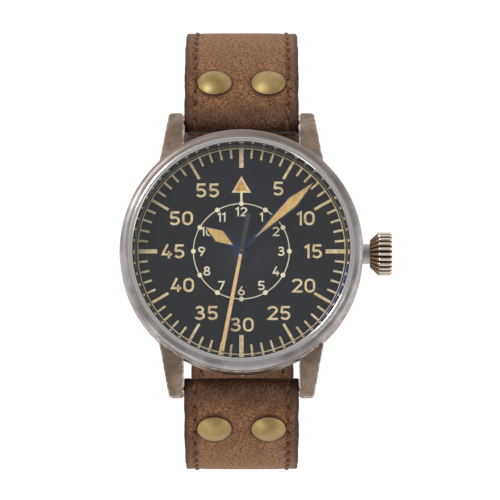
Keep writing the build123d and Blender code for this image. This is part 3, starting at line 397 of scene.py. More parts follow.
def weathered(name, dark, middle, rust, pale, roughness, reach):
    """Steel in four web colours, with worn edges of a reach in millimetres."""
    finish = Finish(name, roughness, metallic=1.0)
    broad = finish.ramp(finish.noise(0.22, detail=4.0), 0.38, 0.62)
    scuffs = finish.ramp(finish.noise(1.1, detail=6.0, rough=0.7, lumps=0.4), 0.45, 0.65)
    grain = finish.noise(9.0, detail=2.0)
    colour = finish.tones(broad, dark, middle)
    colour = finish.over(colour, scuffs, 0.6, rust)
    chips = finish.ramp(finish.noise(1.3, detail=4.0, rough=0.7), 0.42, 0.56)
    edge = finish.sum("MULTIPLY", worn_edges(finish, reach), chips)
    colour = finish.blend(edge, colour, tint(pale))
    finish.feed("Base Color", colour)
    finish.feed("Roughness", finish.ramp(scuffs, 0.0, 1.0, roughness, roughness + 0.14))
    first = finish.relief(grain, 0.012)
    finish.relief(scuffs, 0.02, before=first)
    return finish


case_steel = weathered("weathered_case_steel", "75675a", "948577", "8f6650", "fbf7f0", 0.4, 0.45)
crown_steel = weathered("weathered_crown_steel", "6d5a4b", "8f7a66", "7d5a42", "e6ddd0", 0.3, 0.12)
wear("case_middle", case_steel)
wear("crown", crown_steel)
print("case and crown are in weathered steel")

# %% [markdown]
# ## The bezel
# One turned ring holds the crystal. Its broad face is matte like the case, but the narrow lip next
# to the glass was polished on the lathe, with a fine groove cut beside it. The three zones are told
# apart by their distance from the middle, which is how a lathe sees them too. Towards 12 o'clock
# the matte face is painted darker and browner as painted shade.

# %% Bezel
LIP_OUT_R = 19.42
GROOVE_OUT_R = 19.66
ZONE_FADE = 0.05
SHADE_FROM_Y = 4.0
SHADE_FULL_Y = 19.0

bezel_steel = Finish("turned_bezel_steel", 0.4, metallic=1.0)
far = bezel_steel.radius()
matte = bezel_steel.ramp(far, LIP_OUT_R, LIP_OUT_R + ZONE_FADE)
groove = bezel_steel.ramp(far, GROOVE_OUT_R + ZONE_FADE, GROOVE_OUT_R)
groove = bezel_steel.sum("MULTIPLY", groove, matte)
patches = bezel_steel.ramp(bezel_steel.noise(0.16, detail=4.0), 0.36, 0.64)
specks = bezel_steel.ramp(bezel_steel.noise(2.6, detail=5.0, rough=0.7), 0.5, 0.7)
blasted = bezel_steel.tones(patches, "8d8887", "b7b2b1")
blasted = bezel_steel.over(blasted, specks, 0.35, "7c5e4c")
# painted shade: the matte face goes darker and browner towards 12 o'clock
top_shade = bezel_steel.ramp(bezel_steel.axis("Y"), SHADE_FROM_Y, SHADE_FULL_Y)
blasted = bezel_steel.over(blasted, top_shade, 0.75, "75665a")
blasted = bezel_steel.over(blasted, worn_edges(bezel_steel, 0.3), 0.7, "dcd5ca")
coat = bezel_steel.blend(matte, tint("dcd8d3"), blasted)
# painted shade: the groove between the face and the lip is painted a little darker
bezel_steel.feed("Base Color", bezel_steel.over(coat, groove, 0.5, "8d8783"))
bezel_steel.feed("Roughness", bezel_steel.ramp(matte, 0.0, 1.0, 0.14, 0.42))
bezel_steel.relief(bezel_steel.sum("MULTIPLY", bezel_steel.noise(7.0), matte), 0.012)
wear("bezel", bezel_steel)
print("bezel lip ends at", LIP_OUT_R, "mm")

# %% [markdown]
# ## Plain metals and rubber
# The pieces inside the case each follow one recipe with other numbers: a base colour broken by a
# slow noise, fine brushing along one direction or in circles, and a roughness that wanders a
# little, since no worked surface is even.

# %% Satin metals


def satin(name, base, second, roughness, metallic=1.0, brush=(6.0, 0.4, 6.0), depth=0.004):
    """Two web colours in clouds, with brushing stretched along one axis."""
    finish = Finish(name, roughness, metallic=metallic)
    cloud = finish.ramp(finish.noise(0.5, detail=3.0), 0.35, 0.65)
    lines = finish.noise(1.0, detail=4.0, place=finish.stretched(*brush))
    finish.feed("Base Color", finish.tones(cloud, base, second))
    finish.feed("Roughness", finish.ramp(lines, 0.3, 0.7, roughness * 0.8, roughness * 1.2))
    finish.relief(lines, depth)
    return finish


def circular(name, base, second, roughness):
    """Metal brushed in circles about the dial's axis, as on a turned disc."""
    finish = Finish(name, roughness, metallic=1.0)
    far = finish.radius()
    rings = finish.add("TexNoise", {"Scale": 9.0, "Detail": 3.0}, noise_dimensions="1D")
    finish.join(far, rings.inputs["W"])
    lines = rings.outputs["Fac"]
    cloud = finish.ramp(finish.noise(0.3), 0.35, 0.65)
    finish.feed("Base Color", finish.tones(cloud, base, second))
    finish.feed("Roughness", finish.ramp(lines, 0.3, 0.7, roughness * 0.75, roughness * 1.3))
    finish.relief(lines, 0.006)
    return finish


turned_back = circular("circular_brushed_back", "9a928a", "aaa39a", 0.32)
rhodium = satin("rhodium_plate", "b9b8b4", "cac9c4", 0.3, brush=(4.0, 0.25, 4.0))
gilt = satin("gilt_brass", "c79a4b", "d8af62", 0.26)
steel = satin("plain_steel", "9b9a98", "b0aeaa", 0.3)
spring_steel = satin("spring_steel", "5a6380", "6f7895", 0.28)
blued = satin("blued_steel", "1c2544", "2b3757", 0.38, brush=(3.0, 3.0, 3.0), depth=0.002)
rubber = satin("gasket_rubber", "17171a", "222226", 0.7, metallic=0.0)
FINISHES = {
    turned_back: ("case_back",),
    rhodium: ("main_plate", "barrel_bridge", "train_bridge", "balance_cock", "pallet_bridge",
              "rotor"),
    gilt: ("third_wheel", "center_wheel", "fourth_wheel", "mainspring_barrel", "minute_wheel",
           "hour_wheel", "balance_wheel"),
    steel: ("crown_tube", "winding_stem", "movement_holder", "holder_clamps", "escape_wheel",
            "barrel_arbor", "pallet_fork", "ratchet_wheel", "crown_wheel", "winding_pinion",
            "sliding_pinion", "cannon_pinion", "rotor_bearing", "spring_bar_12", "spring_bar_6"),
    spring_steel: ("mainspring", "hairspring"),
    blued: ("bridge_screws", "holder_screws", "hour_hand", "minute_hand"),
    rubber: ("crystal_gasket", "case_back_gasket", "crown_gasket"),
}
for finish, names in FINISHES.items():
    for name in names:
        wear(name, finish)
print("satin finishes on", sum(len(names) for names in FINISHES.values()), "nodes")

# %% [markdown]
# ## Buckle and rivets
# The buckle is the same rubbed steel as the case. The rivets are brass left to darken: almost olive
# in the hollows, with the bare metal showing where the dome has been polished by wear.

# %% Buckle and rivets
buckle_steel = weathered("weathered_buckle_steel", "7a7168", "978d82", "87705f", "ded7cb",
                         0.32, 0.3)
for name in ("buckle_frame", "buckle_bar", "buckle_tongue"):
    wear(name, buckle_steel)

brass = Finish("darkened_brass", 0.5, metallic=1.0)
stains = brass.ramp(brass.noise(0.35, detail=4.0, rough=0.6), 0.3, 0.7)
specks = brass.ramp(brass.noise(3.2, detail=5.0, rough=0.75), 0.58, 0.72)
colour = brass.tones(stains, "8f7a4c", "ab9664")
brass.feed("Base Color", brass.over(colour, specks, 0.35, "5f4f28"))
brass.feed("Roughness", brass.ramp(brass.noise(1.4, detail=4.0), 0.3, 0.7, 0.46, 0.56))
brass.relief(brass.noise(2.2, detail=5.0, rough=0.6), 0.012)
wear("rivets_12", brass)
wear("rivets_6", brass)
print("buckle and rivets done")

# %% [markdown]
# ## Dial, flange and glass
# The dial is brass under a matte near-black lacquer, with a painted pool of light that makes it a
# little greyer round the hands. The flange ring round it is glossy, so it mirrors the minute marks
# as a row of small dashes, and one side of its wall has a blue glint painted on, a painted
# reflection. The crystal is real glass with a coating against reflections, which a lower specular
# level stands for. Shadow rays pass it freely, or the dial under it would be dark.

# %% Dial, flange and crystal
LIGHT_POOL_CENTRE = (0.6, -0.8)
LIGHT_POOL_R = 7.5
LIGHT_POOL_FULL_R = 1.5
FLANGE_WALL_R = 18.02
FLANGE_WALL = 0.08
GLINT_TURN = radians(32.0)
GLINT_FROM = 16.2
GLINT_FULL = 17.9

lacquer = Finish("matte_dial_lacquer", 0.6)
lacquer.set("Specular IOR Level", 0.02)
worn = lacquer.ramp(lacquer.noise(0.12, detail=3.0), 0.35, 0.65)
black = lacquer.tones(worn, "0c0d10", "121317")
# painted light: a pool of greyer lacquer round the hands stands in for light falling on the dial
inner = lacquer.ramp(lacquer.radius(LIGHT_POOL_CENTRE), LIGHT_POOL_R, LIGHT_POOL_FULL_R)
lacquer.feed("Base Color", lacquer.over(black, inner, 0.6, "28292c"))
wear("dial", lacquer)

gloss = Finish("glossy_flange_lacquer", 0.12)
gloss.set("Specular IOR Level", 0.3)
# painted reflection: a blue glint painted on one side of the flange wall
glint = gloss.ramp(gloss.axis("X", place=gloss.stretched(turn=GLINT_TURN)),
                   GLINT_FROM, GLINT_FULL)
wall = gloss.ramp(gloss.radius(), FLANGE_WALL_R, FLANGE_WALL_R + FLANGE_WALL)
black = gloss.tones(gloss.noise(0.4), "050506", "0a0a0c")
gloss.feed("Base Color", gloss.over(black, glint, wall, "2f6ef0"))
wear("flange_ring", gloss)

glass = Finish("coated_crystal", 0.0)
glass.set("IOR", 1.5)
glass.set("Transmission Weight", 1.0)
glass.set("Specular IOR Level", 0.03)
glass.feed("Base Color", glass.blend(glass.noise(0.05), (0.97, 0.98, 1.0), (1.0, 1.0, 1.0)))
clear = glass.add("BsdfTransparent")
path = glass.add("LightPath")
glass.surface(path.outputs["Is Shadow Ray"], glass.shader.outputs[0], clear.outputs[0])
wear("crystal", glass)
print("dial face at", round(dial_face / MM, 2), "mm")

# %% [markdown]
# ## Making a piece from a bmesh
# Each new piece starts as a bmesh, an editable mesh in memory. `finished` turns it into an object
# with a finish and lets it ride on a body of the frame. The other moves are those that several
# pieces share: spin an outline, raise a flat face, grow a ring of edges by one more stop, and keep
# a flat place for each vertex as a UV map. Blender looks for the outside of a shell with the
# normals that it has, so these are brought up to date first, as the points have moved since.

# %% Piece helpers


def settled(name, mesh):
    """Turns a bmesh in millimetres into an object whose faces point outwards."""
    mesh.normal_update()
    bmesh.ops.recalc_face_normals(mesh, faces=mesh.faces)
    bmesh.ops.scale(mesh, verts=mesh.verts, vec=(MM, MM, MM))
    data = bpy.data.meshes.new(name)
    mesh.to_mesh(data)
    mesh.free()
    item = bpy.data.objects.new(name, data)
    bpy.context.scene.collection.objects.link(item)
    return item


def finished(name, mesh, finish, body, stands_for=(), smooth=True, crease=None,
             cutters=None):
    """Makes a piece of a bmesh, gives it a finish and lets it ride on a body."""
    item = settled(name, mesh)
    if cutters is not None:
        tool = settled(name + "_cutters", cutters)
        holes = item.modifiers.new("holes", "BOOLEAN")
        holes.object = tool
        pierced = bpy.data.meshes.new_from_object(
            item.evaluated_get(bpy.context.evaluated_depsgraph_get()))
        item.modifiers.clear()
        item.data = pierced
        bpy.data.objects.remove(tool)
    data = item.data
    for face in data.polygons:
        face.use_smooth = smooth
    if crease is not None:
        data.set_sharp_from_angle(angle=crease)
    data.materials.clear()
    data.materials.append(finish.material)
    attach(item, body)
    if stands_for:
        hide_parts(*stands_for)
    print(name, len(data.polygons), "faces")


def turned_about(mesh, verts, angle, letter="Z"):
    """Turns vertices about an axis through the middle of the dial."""
    bmesh.ops.rotate(mesh, verts=verts, cent=(0, 0, 0), matrix=Matrix.Rotation(angle, 3, letter))


def closed_ring(mesh, places):
    """New vertices at the places, and the edges that close them into a ring."""
    verts = [mesh.verts.new(place) for place in places]
    return verts, [mesh.edges.new((a, b)) for a, b in zip(verts, verts[1:] + verts[:1])]


def spun(mesh, outline, steps):
    """Spins a closed outline of (radius, height) points once round the dial's axis."""
    verts, edges = closed_ring(mesh, [(r, 0, z) for r, z in outline])
    bmesh.ops.spin(mesh, geom=verts + edges, cent=(0, 0, 0), axis=(0, 0, 1), angle=2 * pi,
                   steps=steps, use_merge=True)


def raised(mesh, faces, height):
    """Extrudes flat faces straight up into a solid."""
    top = bmesh.ops.extrude_face_region(mesh, geom=faces)["geom"]
    bmesh.ops.translate(mesh, verts=[g for g in top if isinstance(g, bmesh.types.BMVert)],
                        vec=(0, 0, height))


def grown(mesh, edges):
    """Extrudes a ring of edges, and gives the vertices and edges of the new ring."""
    made = bmesh.ops.extrude_edge_only(mesh, edges=edges)["geom"]
    verts = {g for g in made if isinstance(g, bmesh.types.BMVert)}
    return verts, [g for g in made if isinstance(g, bmesh.types.BMEdge) and set(g.verts) <= verts]


def keep_flat(mesh, name, flat):
    """Stores the flat place of each vertex as the mesh's UV map."""
    layer = mesh.loops.layers.uv.new(name)
    for face in mesh.faces:
        for corner in face.loops:
            corner[layer].uv = flat[corner.vert]


print("piece helpers are ready")

# %% [markdown]
# ## The minute track
# Pad printing lays a film a few hundredths of a millimetre thick, so the marks are real, very low
# solids. There are sixty ticks: the five-minute ones are longer, and the four at the quarters are
# wider still. A thin ring closes the track on the outside.

# %% Minute track
INK_HIGH = 0.03
TRACK_OUT_R = 17.83
TRACK_LINE = 0.16
TICK_OUT_R = 17.7
MINUTE_TICK_R = 16.07
FIVE_TICK_R = 14.4
TICK_W = 0.36
FIVE_TICK_W = 0.46
QUARTER_TICK_W = 0.72
MINUTES = 60
RING_STEPS = 180

ink_low = dial_face / MM
ink_top = ink_low + INK_HIGH
ink_mid = ink_low + INK_HIGH / 2

cream = Finish("cream_dial_print", 0.55)
age = cream.ramp(cream.noise(1.6, detail=5.0, rough=0.65), 0.35, 0.68)
cream.feed("Base Color", cream.tones(age, "d6c69c", "b99a63"))
cream.relief(cream.noise(8.0), 0.01)
pale_print = Finish("pale_dial_print", 0.55)
fade = pale_print.noise(1.2, detail=4.0)
pale_print.feed("Base Color", pale_print.tones(fade, "e6dec6", "cdbb8f"))
pale_print.relief(pale_print.noise(8.0), 0.01)


def hoop(mesh, near, far):
    """A printed ring between two radii."""
    spun(mesh, [(near, ink_low), (far, ink_low), (far, ink_top), (near, ink_top)], RING_STEPS)


def bar(mesh, wide, near, far, turn=0.0):
    """A printed bar between two radii, turned clockwise about the dial's middle."""
    made = bmesh.ops.create_cube(mesh, size=1.0)["verts"]
    bmesh.ops.scale(mesh, verts=made, vec=(wide, far - near, INK_HIGH))
    bmesh.ops.translate(mesh, verts=made, vec=(0, (far + near) / 2, ink_mid))
    turned_about(mesh, made, -turn)


def printed(name, mesh, finish, body="case"):
    """Finishes a piece of print or paste, which keeps its sharp edges."""
    finished(name, mesh, finish, body, smooth=False)


track = bmesh.new()
hoop(track, TRACK_OUT_R - TRACK_LINE, TRACK_OUT_R)
for minute in range(1, MINUTES + 1):
    long_mark = minute % 5 == 0
    wide = QUARTER_TICK_W if minute % 15 == 0 else FIVE_TICK_W if long_mark else TICK_W
    near = FIVE_TICK_R if long_mark else MINUTE_TICK_R
    bar(track, wide, near, TICK_OUT_R, 2 * pi * minute / MINUTES)
printed("minute_track", track, cream)

# %% [markdown]
# ## The numerals
# Plain upright figures count the minutes outside and the hours inside. Each figure is drawn the way
# a dial engraver drew it: with a few straight strokes and arcs of one width. Points are shares of
# the figure's height, and a stroke becomes a flat ribbon that follows them with mitred corners.

# %% Numerals
MINUTE_CAP = 2.4
HOUR_CAP = 1.57
FIGURE_W = 0.76         # all in shares of a figure's height
ONE_W = 0.36
STROKE_W = 0.155
FIGURE_GAP = 0.15
ARC_STEPS = 20
MITRE_LIMIT = 0.45      # keeps the corner of a sharp bend short
MINUTE_PLACES = {
    5: (6.3, 10.8), 10: (11.0, 5.7), 15: (12.3, 0.0), 20: (10.6, -5.9), 25: (6.4, -10.6),
    30: (0.1, -12.6), 35: (-6.0, -10.6), 40: (-10.1, -5.8), 45: (-11.7, 0.0), 50: (-10.3, 5.7),
    55: (-5.8, 10.5)}
HOUR_FIGURE_R = 6.8

edge = STROKE_W / 2
right = FIGURE_W - edge
middle = FIGURE_W / 2
broad = middle - edge


def arc(x, y, wide, high, first, last):
    """Points on an oval about a centre, between two angles in degrees."""
    turns = [radians(first + (last - first) * i / ARC_STEPS) for i in range(ARC_STEPS + 1)]
    return [(x + wide * cos(a), y + high * sin(a)) for a in turns]


STROKES = {
    "0": [[*arc(middle, 0.63, broad, 0.37 - edge, 0, 180),
           *arc(middle, 0.37, broad, 0.37 - edge, 180, 360), (right, 0.63)]],
    "1": [[(0.02, 0.76), (ONE_W - edge, 1 - edge), (ONE_W - edge, 0.0)]],
    "2": [[*arc(middle, 0.7, broad, 0.3 - edge, 165, -38), (edge + 0.04, edge), (FIGURE_W, edge)]],
    "3": [arc(middle - 0.02, 0.745, broad - 0.06, 0.255 - edge, 160, -90),
          arc(middle - 0.02, 0.295, broad, 0.295 - edge, 90, -160),
          [(middle - 0.16, 0.53), (middle, 0.53)]],
    "4": [[(0.46, 1.0), (edge + 0.02, 0.28), (FIGURE_W, 0.28)], [(0.54, 0.52), (0.54, 0.0)]],
    "5": [[(FIGURE_W - 0.06, 1 - edge), (0.16, 1 - edge), (0.11, 0.5)],
          arc(middle - 0.02, 0.32, broad, 0.32 - edge, 140, -150)],
    "6": [arc(middle, 0.31, broad, 0.31 - edge, 155, 520), [(0.48, 1.0), (0.1, 0.42)]],
    "7": [[(0.02, 1 - edge), (right - 0.02, 1 - edge), (0.24, 0.0)]],
    "8": [arc(middle, 0.745, broad - 0.06, 0.255 - edge, 0, 360),
          arc(middle, 0.295, broad, 0.295 - edge, 0, 360)],
    "9": [arc(middle, 0.69, broad, 0.31 - edge, -25, 340),
          [(FIGURE_W - 0.48, 0.0), (FIGURE_W - 0.1, 0.58)]],
}


def ribbon(mesh, points, half):
    """A printed band along a line of points, as wide everywhere as the pen."""
    spots = [Vector(p) for p in points]
    kept = [spots[0]] + [b for a, b in zip(spots, spots[1:]) if (b - a).length > 1e-5]
    ways = [(b - a).normalized() for a, b in zip(kept, kept[1:])]
    pairs = []
    for spot, before, after in zip(kept, [ways[0], *ways], [*ways, ways[-1]]):
        mitre = (before + after).normalized()
        reach = half / max(mitre.dot(before), MITRE_LIMIT)
        side = Vector((-mitre.y, mitre.x)) * reach
        pairs.append([mesh.verts.new((*(spot + side * s), ink_low)) for s in (1, -1)])
    raised(mesh, [mesh.faces.new((a[0], b[0], b[1], a[1])) for a, b in zip(pairs, pairs[1:])],
           INK_HIGH)


def figures(mesh, number, cap, place):
    """Draws a number, centred on a place in millimetres."""
    widths = [ONE_W if figure == "1" else FIGURE_W for figure in number]
    pen = -(sum(widths) + FIGURE_GAP * (len(number) - 1)) / 2
    for figure, wide in zip(number, widths):
        for stroke in STROKES[figure]:
            points = [(place[0] + cap * (pen + x), place[1] + cap * (y - 0.5)) for x, y in stroke]
            ribbon(mesh, points, cap * edge)
        pen += wide + FIGURE_GAP


def at_hour(hour, r):
    """The place of an hour on a circle."""
    angle = 2 * pi * hour / 12
    return r * sin(angle), r * cos(angle)


minute_figures = bmesh.new()
for minute, place in MINUTE_PLACES.items():
    figures(minute_figures, str(minute), MINUTE_CAP, place)
hour_figures = bmesh.new()
for hour in range(1, 13):
    figures(hour_figures, str(hour), HOUR_CAP, at_hour(hour, HOUR_FIGURE_R))
printed("minute_numerals", minute_figures, cream)
printed("hour_numerals", hour_figures, pale_print)

# %% [markdown]
# ## The hour ring and the triangle
# A thin ring with twelve dots marks the hours. At twelve it grows a short stem with a triangle on
# it, gold inside a pale border, which a pilot looks for first.

# %% Hour ring and triangle
HOUR_RING_R = 8.2
HOUR_LINE = 0.15
HOUR_DOT_R = 0.41
DOT_SIDES = 24
STEM_W = 0.36
TRIANGLE_TIP_R = 12.95
TRIANGLE_BASE_R = 10.1
TRIANGLE_W = 3.35
TRIANGLE_BORDER = 0.3

gold = Finish("gold_triangle_paint", 0.5)
patina = gold.ramp(gold.noise(2.2, detail=4.0), 0.35, 0.65)
gold.feed("Base Color", gold.tones(patina, "c0913a", "9c7430"))
gold.relief(gold.noise(9.0), 0.01)


def prism(mesh, points, low, high):
    """A flat face of a few points, raised by a height."""
    raised(mesh, [mesh.faces.new([mesh.verts.new((x, y, low)) for x, y in points])], high)


def triangle(name, inset, low, finish):
    """The triangle with its sides drawn in."""
    mesh = bmesh.new()
    half = TRIANGLE_W / 2 - 2 * inset
    base = TRIANGLE_BASE_R + inset
    prism(mesh, ((-half, base), (half, base), (0, TRIANGLE_TIP_R - 2 * inset)), low, INK_HIGH)
    printed(name, mesh, finish)


ring_mesh = bmesh.new()
hoop(ring_mesh, HOUR_RING_R - HOUR_LINE / 2, HOUR_RING_R + HOUR_LINE / 2)
for hour in range(12):
    made = bmesh.ops.create_cone(ring_mesh, cap_ends=True, segments=DOT_SIDES, radius1=HOUR_DOT_R,
                                 radius2=HOUR_DOT_R, depth=2 * INK_HIGH)["verts"]
    bmesh.ops.translate(ring_mesh, verts=made, vec=(*at_hour(hour, HOUR_RING_R), ink_top))
bar(ring_mesh, STEM_W, HOUR_RING_R, TRIANGLE_BASE_R)
printed("hour_ring", ring_mesh, pale_print)
triangle("triangle_border", 0.0, ink_low, cream)
triangle("triangle_fill", TRIANGLE_BORDER, ink_top, gold)

# %% [markdown]
# ## Luminous paste in the hands
# The hour and minute hands are windows of blued steel filled with a yellowed luminous paste. The
# paste is set from below, so it lies a little under the metal's face, domed and speckled with age.
# The sizes repeat those of the hands: where the window starts, its broadest place and its tip.

# %% Luminous paste
HAND_RIM = 0.28
HAND_THICK = 0.16
PASTE_HIGH = 0.1
LUME_HANDS = {
    "hour": {"node": "hour_hand", "body": "hours", "turn": 303.7, "near": 1.4, "wide": 2.7,
             "wide_at": 4.5, "tip": 7.35},
    "minute": {"node": "minute_hand", "body": "minutes", "turn": 46.4, "near": 2.8, "wide": 2.4,
               "wide_at": 12.1, "tip": 16.9},
}

paste = Finish("aged_luminous_paste", 0.6)
cloud = paste.ramp(paste.noise(1.5, detail=5.0, rough=0.7), 0.36, 0.66)
speck = paste.ramp(paste.noise(4.5, detail=4.0, rough=0.8), 0.53, 0.66)
paste.feed("Base Color", paste.over(paste.tones(cloud, "cdab63", "b48b47"), speck, 0.85, "6e5029"))
paste.relief(paste.noise(5.0, detail=4.0), 0.05)

for name, hand in LUME_HANDS.items():
    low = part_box(hand["node"])[0].z / MM + (HAND_THICK - PASTE_HIGH) / 2
    half = hand["wide"] / 2 - HAND_RIM
    fill = bmesh.new()
    prism(fill, ((0, hand["near"] + HAND_RIM), (half, hand["wide_at"]),
                 (0, hand["tip"]), (-half, hand["wide_at"])), low, PASTE_HIGH)
    turned_about(fill, fill.verts, -radians(hand["turn"]))
    printed(name + "_hand_paste", fill, paste, hand["body"])

# %% [markdown]
# ## The seconds hand
# A needle painted with the same paste from hub to tip, and left black on its counterweight. One
# material does both: its own Mapping node turns the coordinates so that Y runs along the hand, and
# the sign of Y chooses the paint.

# %% Seconds hand
SECOND_TURN = radians(190.9)

needle = Finish("seconds_hand_paint", 0.45)
along = needle.axis("Y", place=needle.stretched(turn=SECOND_TURN))
front = needle.ramp(along, 0.6, 0.75)
spots = needle.ramp(needle.noise(4.0, detail=4.0), 0.35, 0.7)
paint = needle.tones(spots, "d6b57c", "b58a52")
needle.feed("Base Color", needle.blend(front, tint("141416"), paint))
needle.relief(needle.noise(6.0), 0.01)
wear("second_hand", needle)
print("seconds hand painted")

# %% [markdown]
# ## A smooth crystal
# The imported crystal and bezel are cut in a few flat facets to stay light, which is fine for fit but
# wrong for reflections. The crystal is turned again here from the same outline: a closed loop of
# points in the XZ plane, spun once round the axis. A crease angle keeps the real corners sharp.

# %% Crystal
TURN_STEPS = 200
CRYSTAL_BORE_R = 17.72          # the hollow beneath, the wide foot, the wall and the dome
CRYSTAL_FOOT_R = 19.1
CRYSTAL_WALL_R = 18.62
CRYSTAL_DOME_R = 18.37
CRYSTAL_FOOT_HIGH = 0.6
CRYSTAL_WALL_DOWN = 1.0         # heights below the top of the dome
CRYSTAL_RIM_DOWN = 0.75
CRYSTAL_UNDER_DOWN = 1.65
DOME_STEPS = 12
MERGE = 0.0005                  # points on the axis that lie closer than this become one


def turned(mesh, outline, steps=TURN_STEPS):
    """Spins an outline and closes it where it meets the axis."""
    spun(mesh, outline, steps)
    bmesh.ops.remove_doubles(mesh, verts=mesh.verts, dist=MERGE)


def dome(r, rim_z, high):
    """Points on a shallow ball from its rim to its top."""
    ball = (r * r + high * high) / (2 * high)
    whole = atan2(r, ball - high)
    turns = [whole * (1 - i / DOME_STEPS) for i in range(DOME_STEPS + 1)]
    return [(ball * sin(turn), rim_z + high - ball * (1 - cos(turn))) for turn in turns]


crystal_low, crystal_high = (corner.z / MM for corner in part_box("crystal"))
foot_z = crystal_low + CRYSTAL_FOOT_HIGH
under_z = crystal_high - CRYSTAL_UNDER_DOWN
crystal_mesh = bmesh.new()
turned(crystal_mesh, [(CRYSTAL_BORE_R, crystal_low), (CRYSTAL_FOOT_R, crystal_low),
                      (CRYSTAL_FOOT_R, foot_z), (CRYSTAL_WALL_R, foot_z),
                      (CRYSTAL_WALL_R, crystal_high - CRYSTAL_WALL_DOWN),
                      *dome(CRYSTAL_DOME_R, crystal_high - CRYSTAL_RIM_DOWN, CRYSTAL_RIM_DOWN),
                      (0.0, under_z), (CRYSTAL_BORE_R, under_z)])
finished("domed_crystal", crystal_mesh, glass, "case", stands_for=("crystal",),
         crease=radians(25))

# %% [markdown]
# ## A smooth bezel
# The bezel is turned in the same way. Its outline rises over the broad face as a quarter of an
# oval, dips into the groove, rounds over the polished lip beside the glass and comes down the bore.

# %% Shape of the bezel
FACE_OUT_R = 20.9
FACE_IN_R = 19.64
FACE_FALL = 0.85
FOOT_OUT_R = 20.84
FOOT_HIGH = 0.06
SEAT_R = 19.75
BEZEL_BORE_R = 19.15
LIP_IN_R = 18.67
SEAT_HIGH = 0.65                # heights above the bezel's foot
LIP_UNDER = 1.51
GROOVE_DOWN = ((19.62, 0.04), (19.52, 0.1))         # radii, with depths below the bezel's top
LIP_DOWN = ((19.42, 0.07), (19.36, 0.03), (19.24, 0.01), (19.08, 0.0), (18.9, 0.03),
            (18.76, 0.1), (LIP_IN_R, 0.22))

bezel_low, bezel_high = (corner.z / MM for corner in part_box("bezel"))
face_curve = [(FACE_OUT_R - (FACE_OUT_R - FACE_IN_R) * (1 - cos(radians(a))),
               bezel_high - FACE_FALL * (1 - sin(radians(a)))) for a in range(0, 91, 10)]
bezel_mesh = bmesh.new()
turned(bezel_mesh, [(SEAT_R, bezel_low), (FOOT_OUT_R, bezel_low),
                    (FACE_OUT_R, bezel_low + FOOT_HIGH),
                    *face_curve, *((r, bezel_high - down) for r, down in GROOVE_DOWN + LIP_DOWN),
                    (LIP_IN_R, bezel_low + LIP_UNDER), (BEZEL_BORE_R, bezel_low + LIP_UNDER),
                    (BEZEL_BORE_R, bezel_low + SEAT_HIGH), (SEAT_R, bezel_low + SEAT_HIGH)])
finished("turned_bezel", bezel_mesh, bezel_steel, "case", stands_for=("bezel",),
         crease=radians(35))

# %% [markdown]
# ## The fluted crown
# The crown is a cone that runs out into a cylinder, with twenty-four round ribs that carry on down
# the cone. Its section is a ring of points whose radius swells and dips with the angle. The ring is
# extruded along the axis with another size at each stop, the outer end is closed almost flat, and a
# bore is sunk into the inner one. A UV map keeps the height of the rib, so that grime lies in the
# grooves and the crests are bare.

# %% Crown
RIBS = 24
RIB_POINTS = 10
RIB_DEEP = 0.15
CROWN_R = 3.8
CROWN_STOPS = ((0.0, 2.38), (0.08, 2.46), (0.6, 2.92), (1.1, 3.38), (1.42, 3.66), (1.6, 3.76),
               (1.8, 3.8), (2.6, 3.82), (3.3, 3.8), (3.55, 3.74), (3.7, 3.62), (3.78, 3.44),
               (3.8, 3.2))      # places along the axis, with radii
CROWN_END_RS = (2.4, 1.28)
CROWN_END_SUNK = 0.02
CROWN_BORE = 2.05
CROWN_BORE_DEEP = 2.5
CROWN_END_PLACE = (0.5, 4.0)    # flat places of the plain faces: a rib height and a run
CROWN_BORE_STOPS = ((0.0, (0.2, -1.0)), (CROWN_BORE_DEEP, (0.2, -2.0)))

crown_low, crown_high = (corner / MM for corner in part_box("crown"))
crown_z = (crown_low.z + crown_high.z) / 2
crown_scale = (crown_high.x - crown_low.x) / CROWN_STOPS[-1][0]

ribbed = Finish("rubbed_crown_steel", 0.32, metallic=1.0, uv=True)
crest = ribbed.ramp(ribbed.axis("X"), 0.55, 0.95)
dirt = ribbed.noise(1.0, detail=4.0, place=ribbed.stretched(0.6, 2.2, 1.0))
grimy = ribbed.tones(ribbed.ramp(dirt, 0.35, 0.65), "6a5342", "937962")
bare = ribbed.ramp(dirt, 0.25, 0.55, 0.5, 1.0)
ribbed.feed("Base Color", ribbed.over(grimy, crest, bare, "f0e6d8"))
ribbed.feed("Roughness", ribbed.ramp(crest, 0.0, 1.0, 0.44, 0.24))
ribbed.relief(dirt, 0.02)


def rib_ring(r, x):
    """Points round the crown at one stop, with how high each lies on its rib."""
    ring = []
    for i in range(RIBS * RIB_POINTS):
        angle = 2 * pi * i / (RIBS * RIB_POINTS)
        high = abs(sin(RIBS / 2 * angle))
        reach = r * (1 - RIB_DEEP * (1 - high) * min(1.0, r / CROWN_R))
        ring.append(((crown_low.x + x, reach * cos(angle), crown_z + reach * sin(angle)), high))
    return ring


def round_ring(edges, r, x, kept):
    """Grows the crown by one round ring, which keeps the same flat place all round."""
    verts, edges = grown(crown_mesh, edges)
    for v in verts:
        out = Vector((0, v.co.y, v.co.z - crown_z)).normalized() * r
        v.co = (x, out.y, crown_z + out.z)
        flat[v] = kept
    return edges


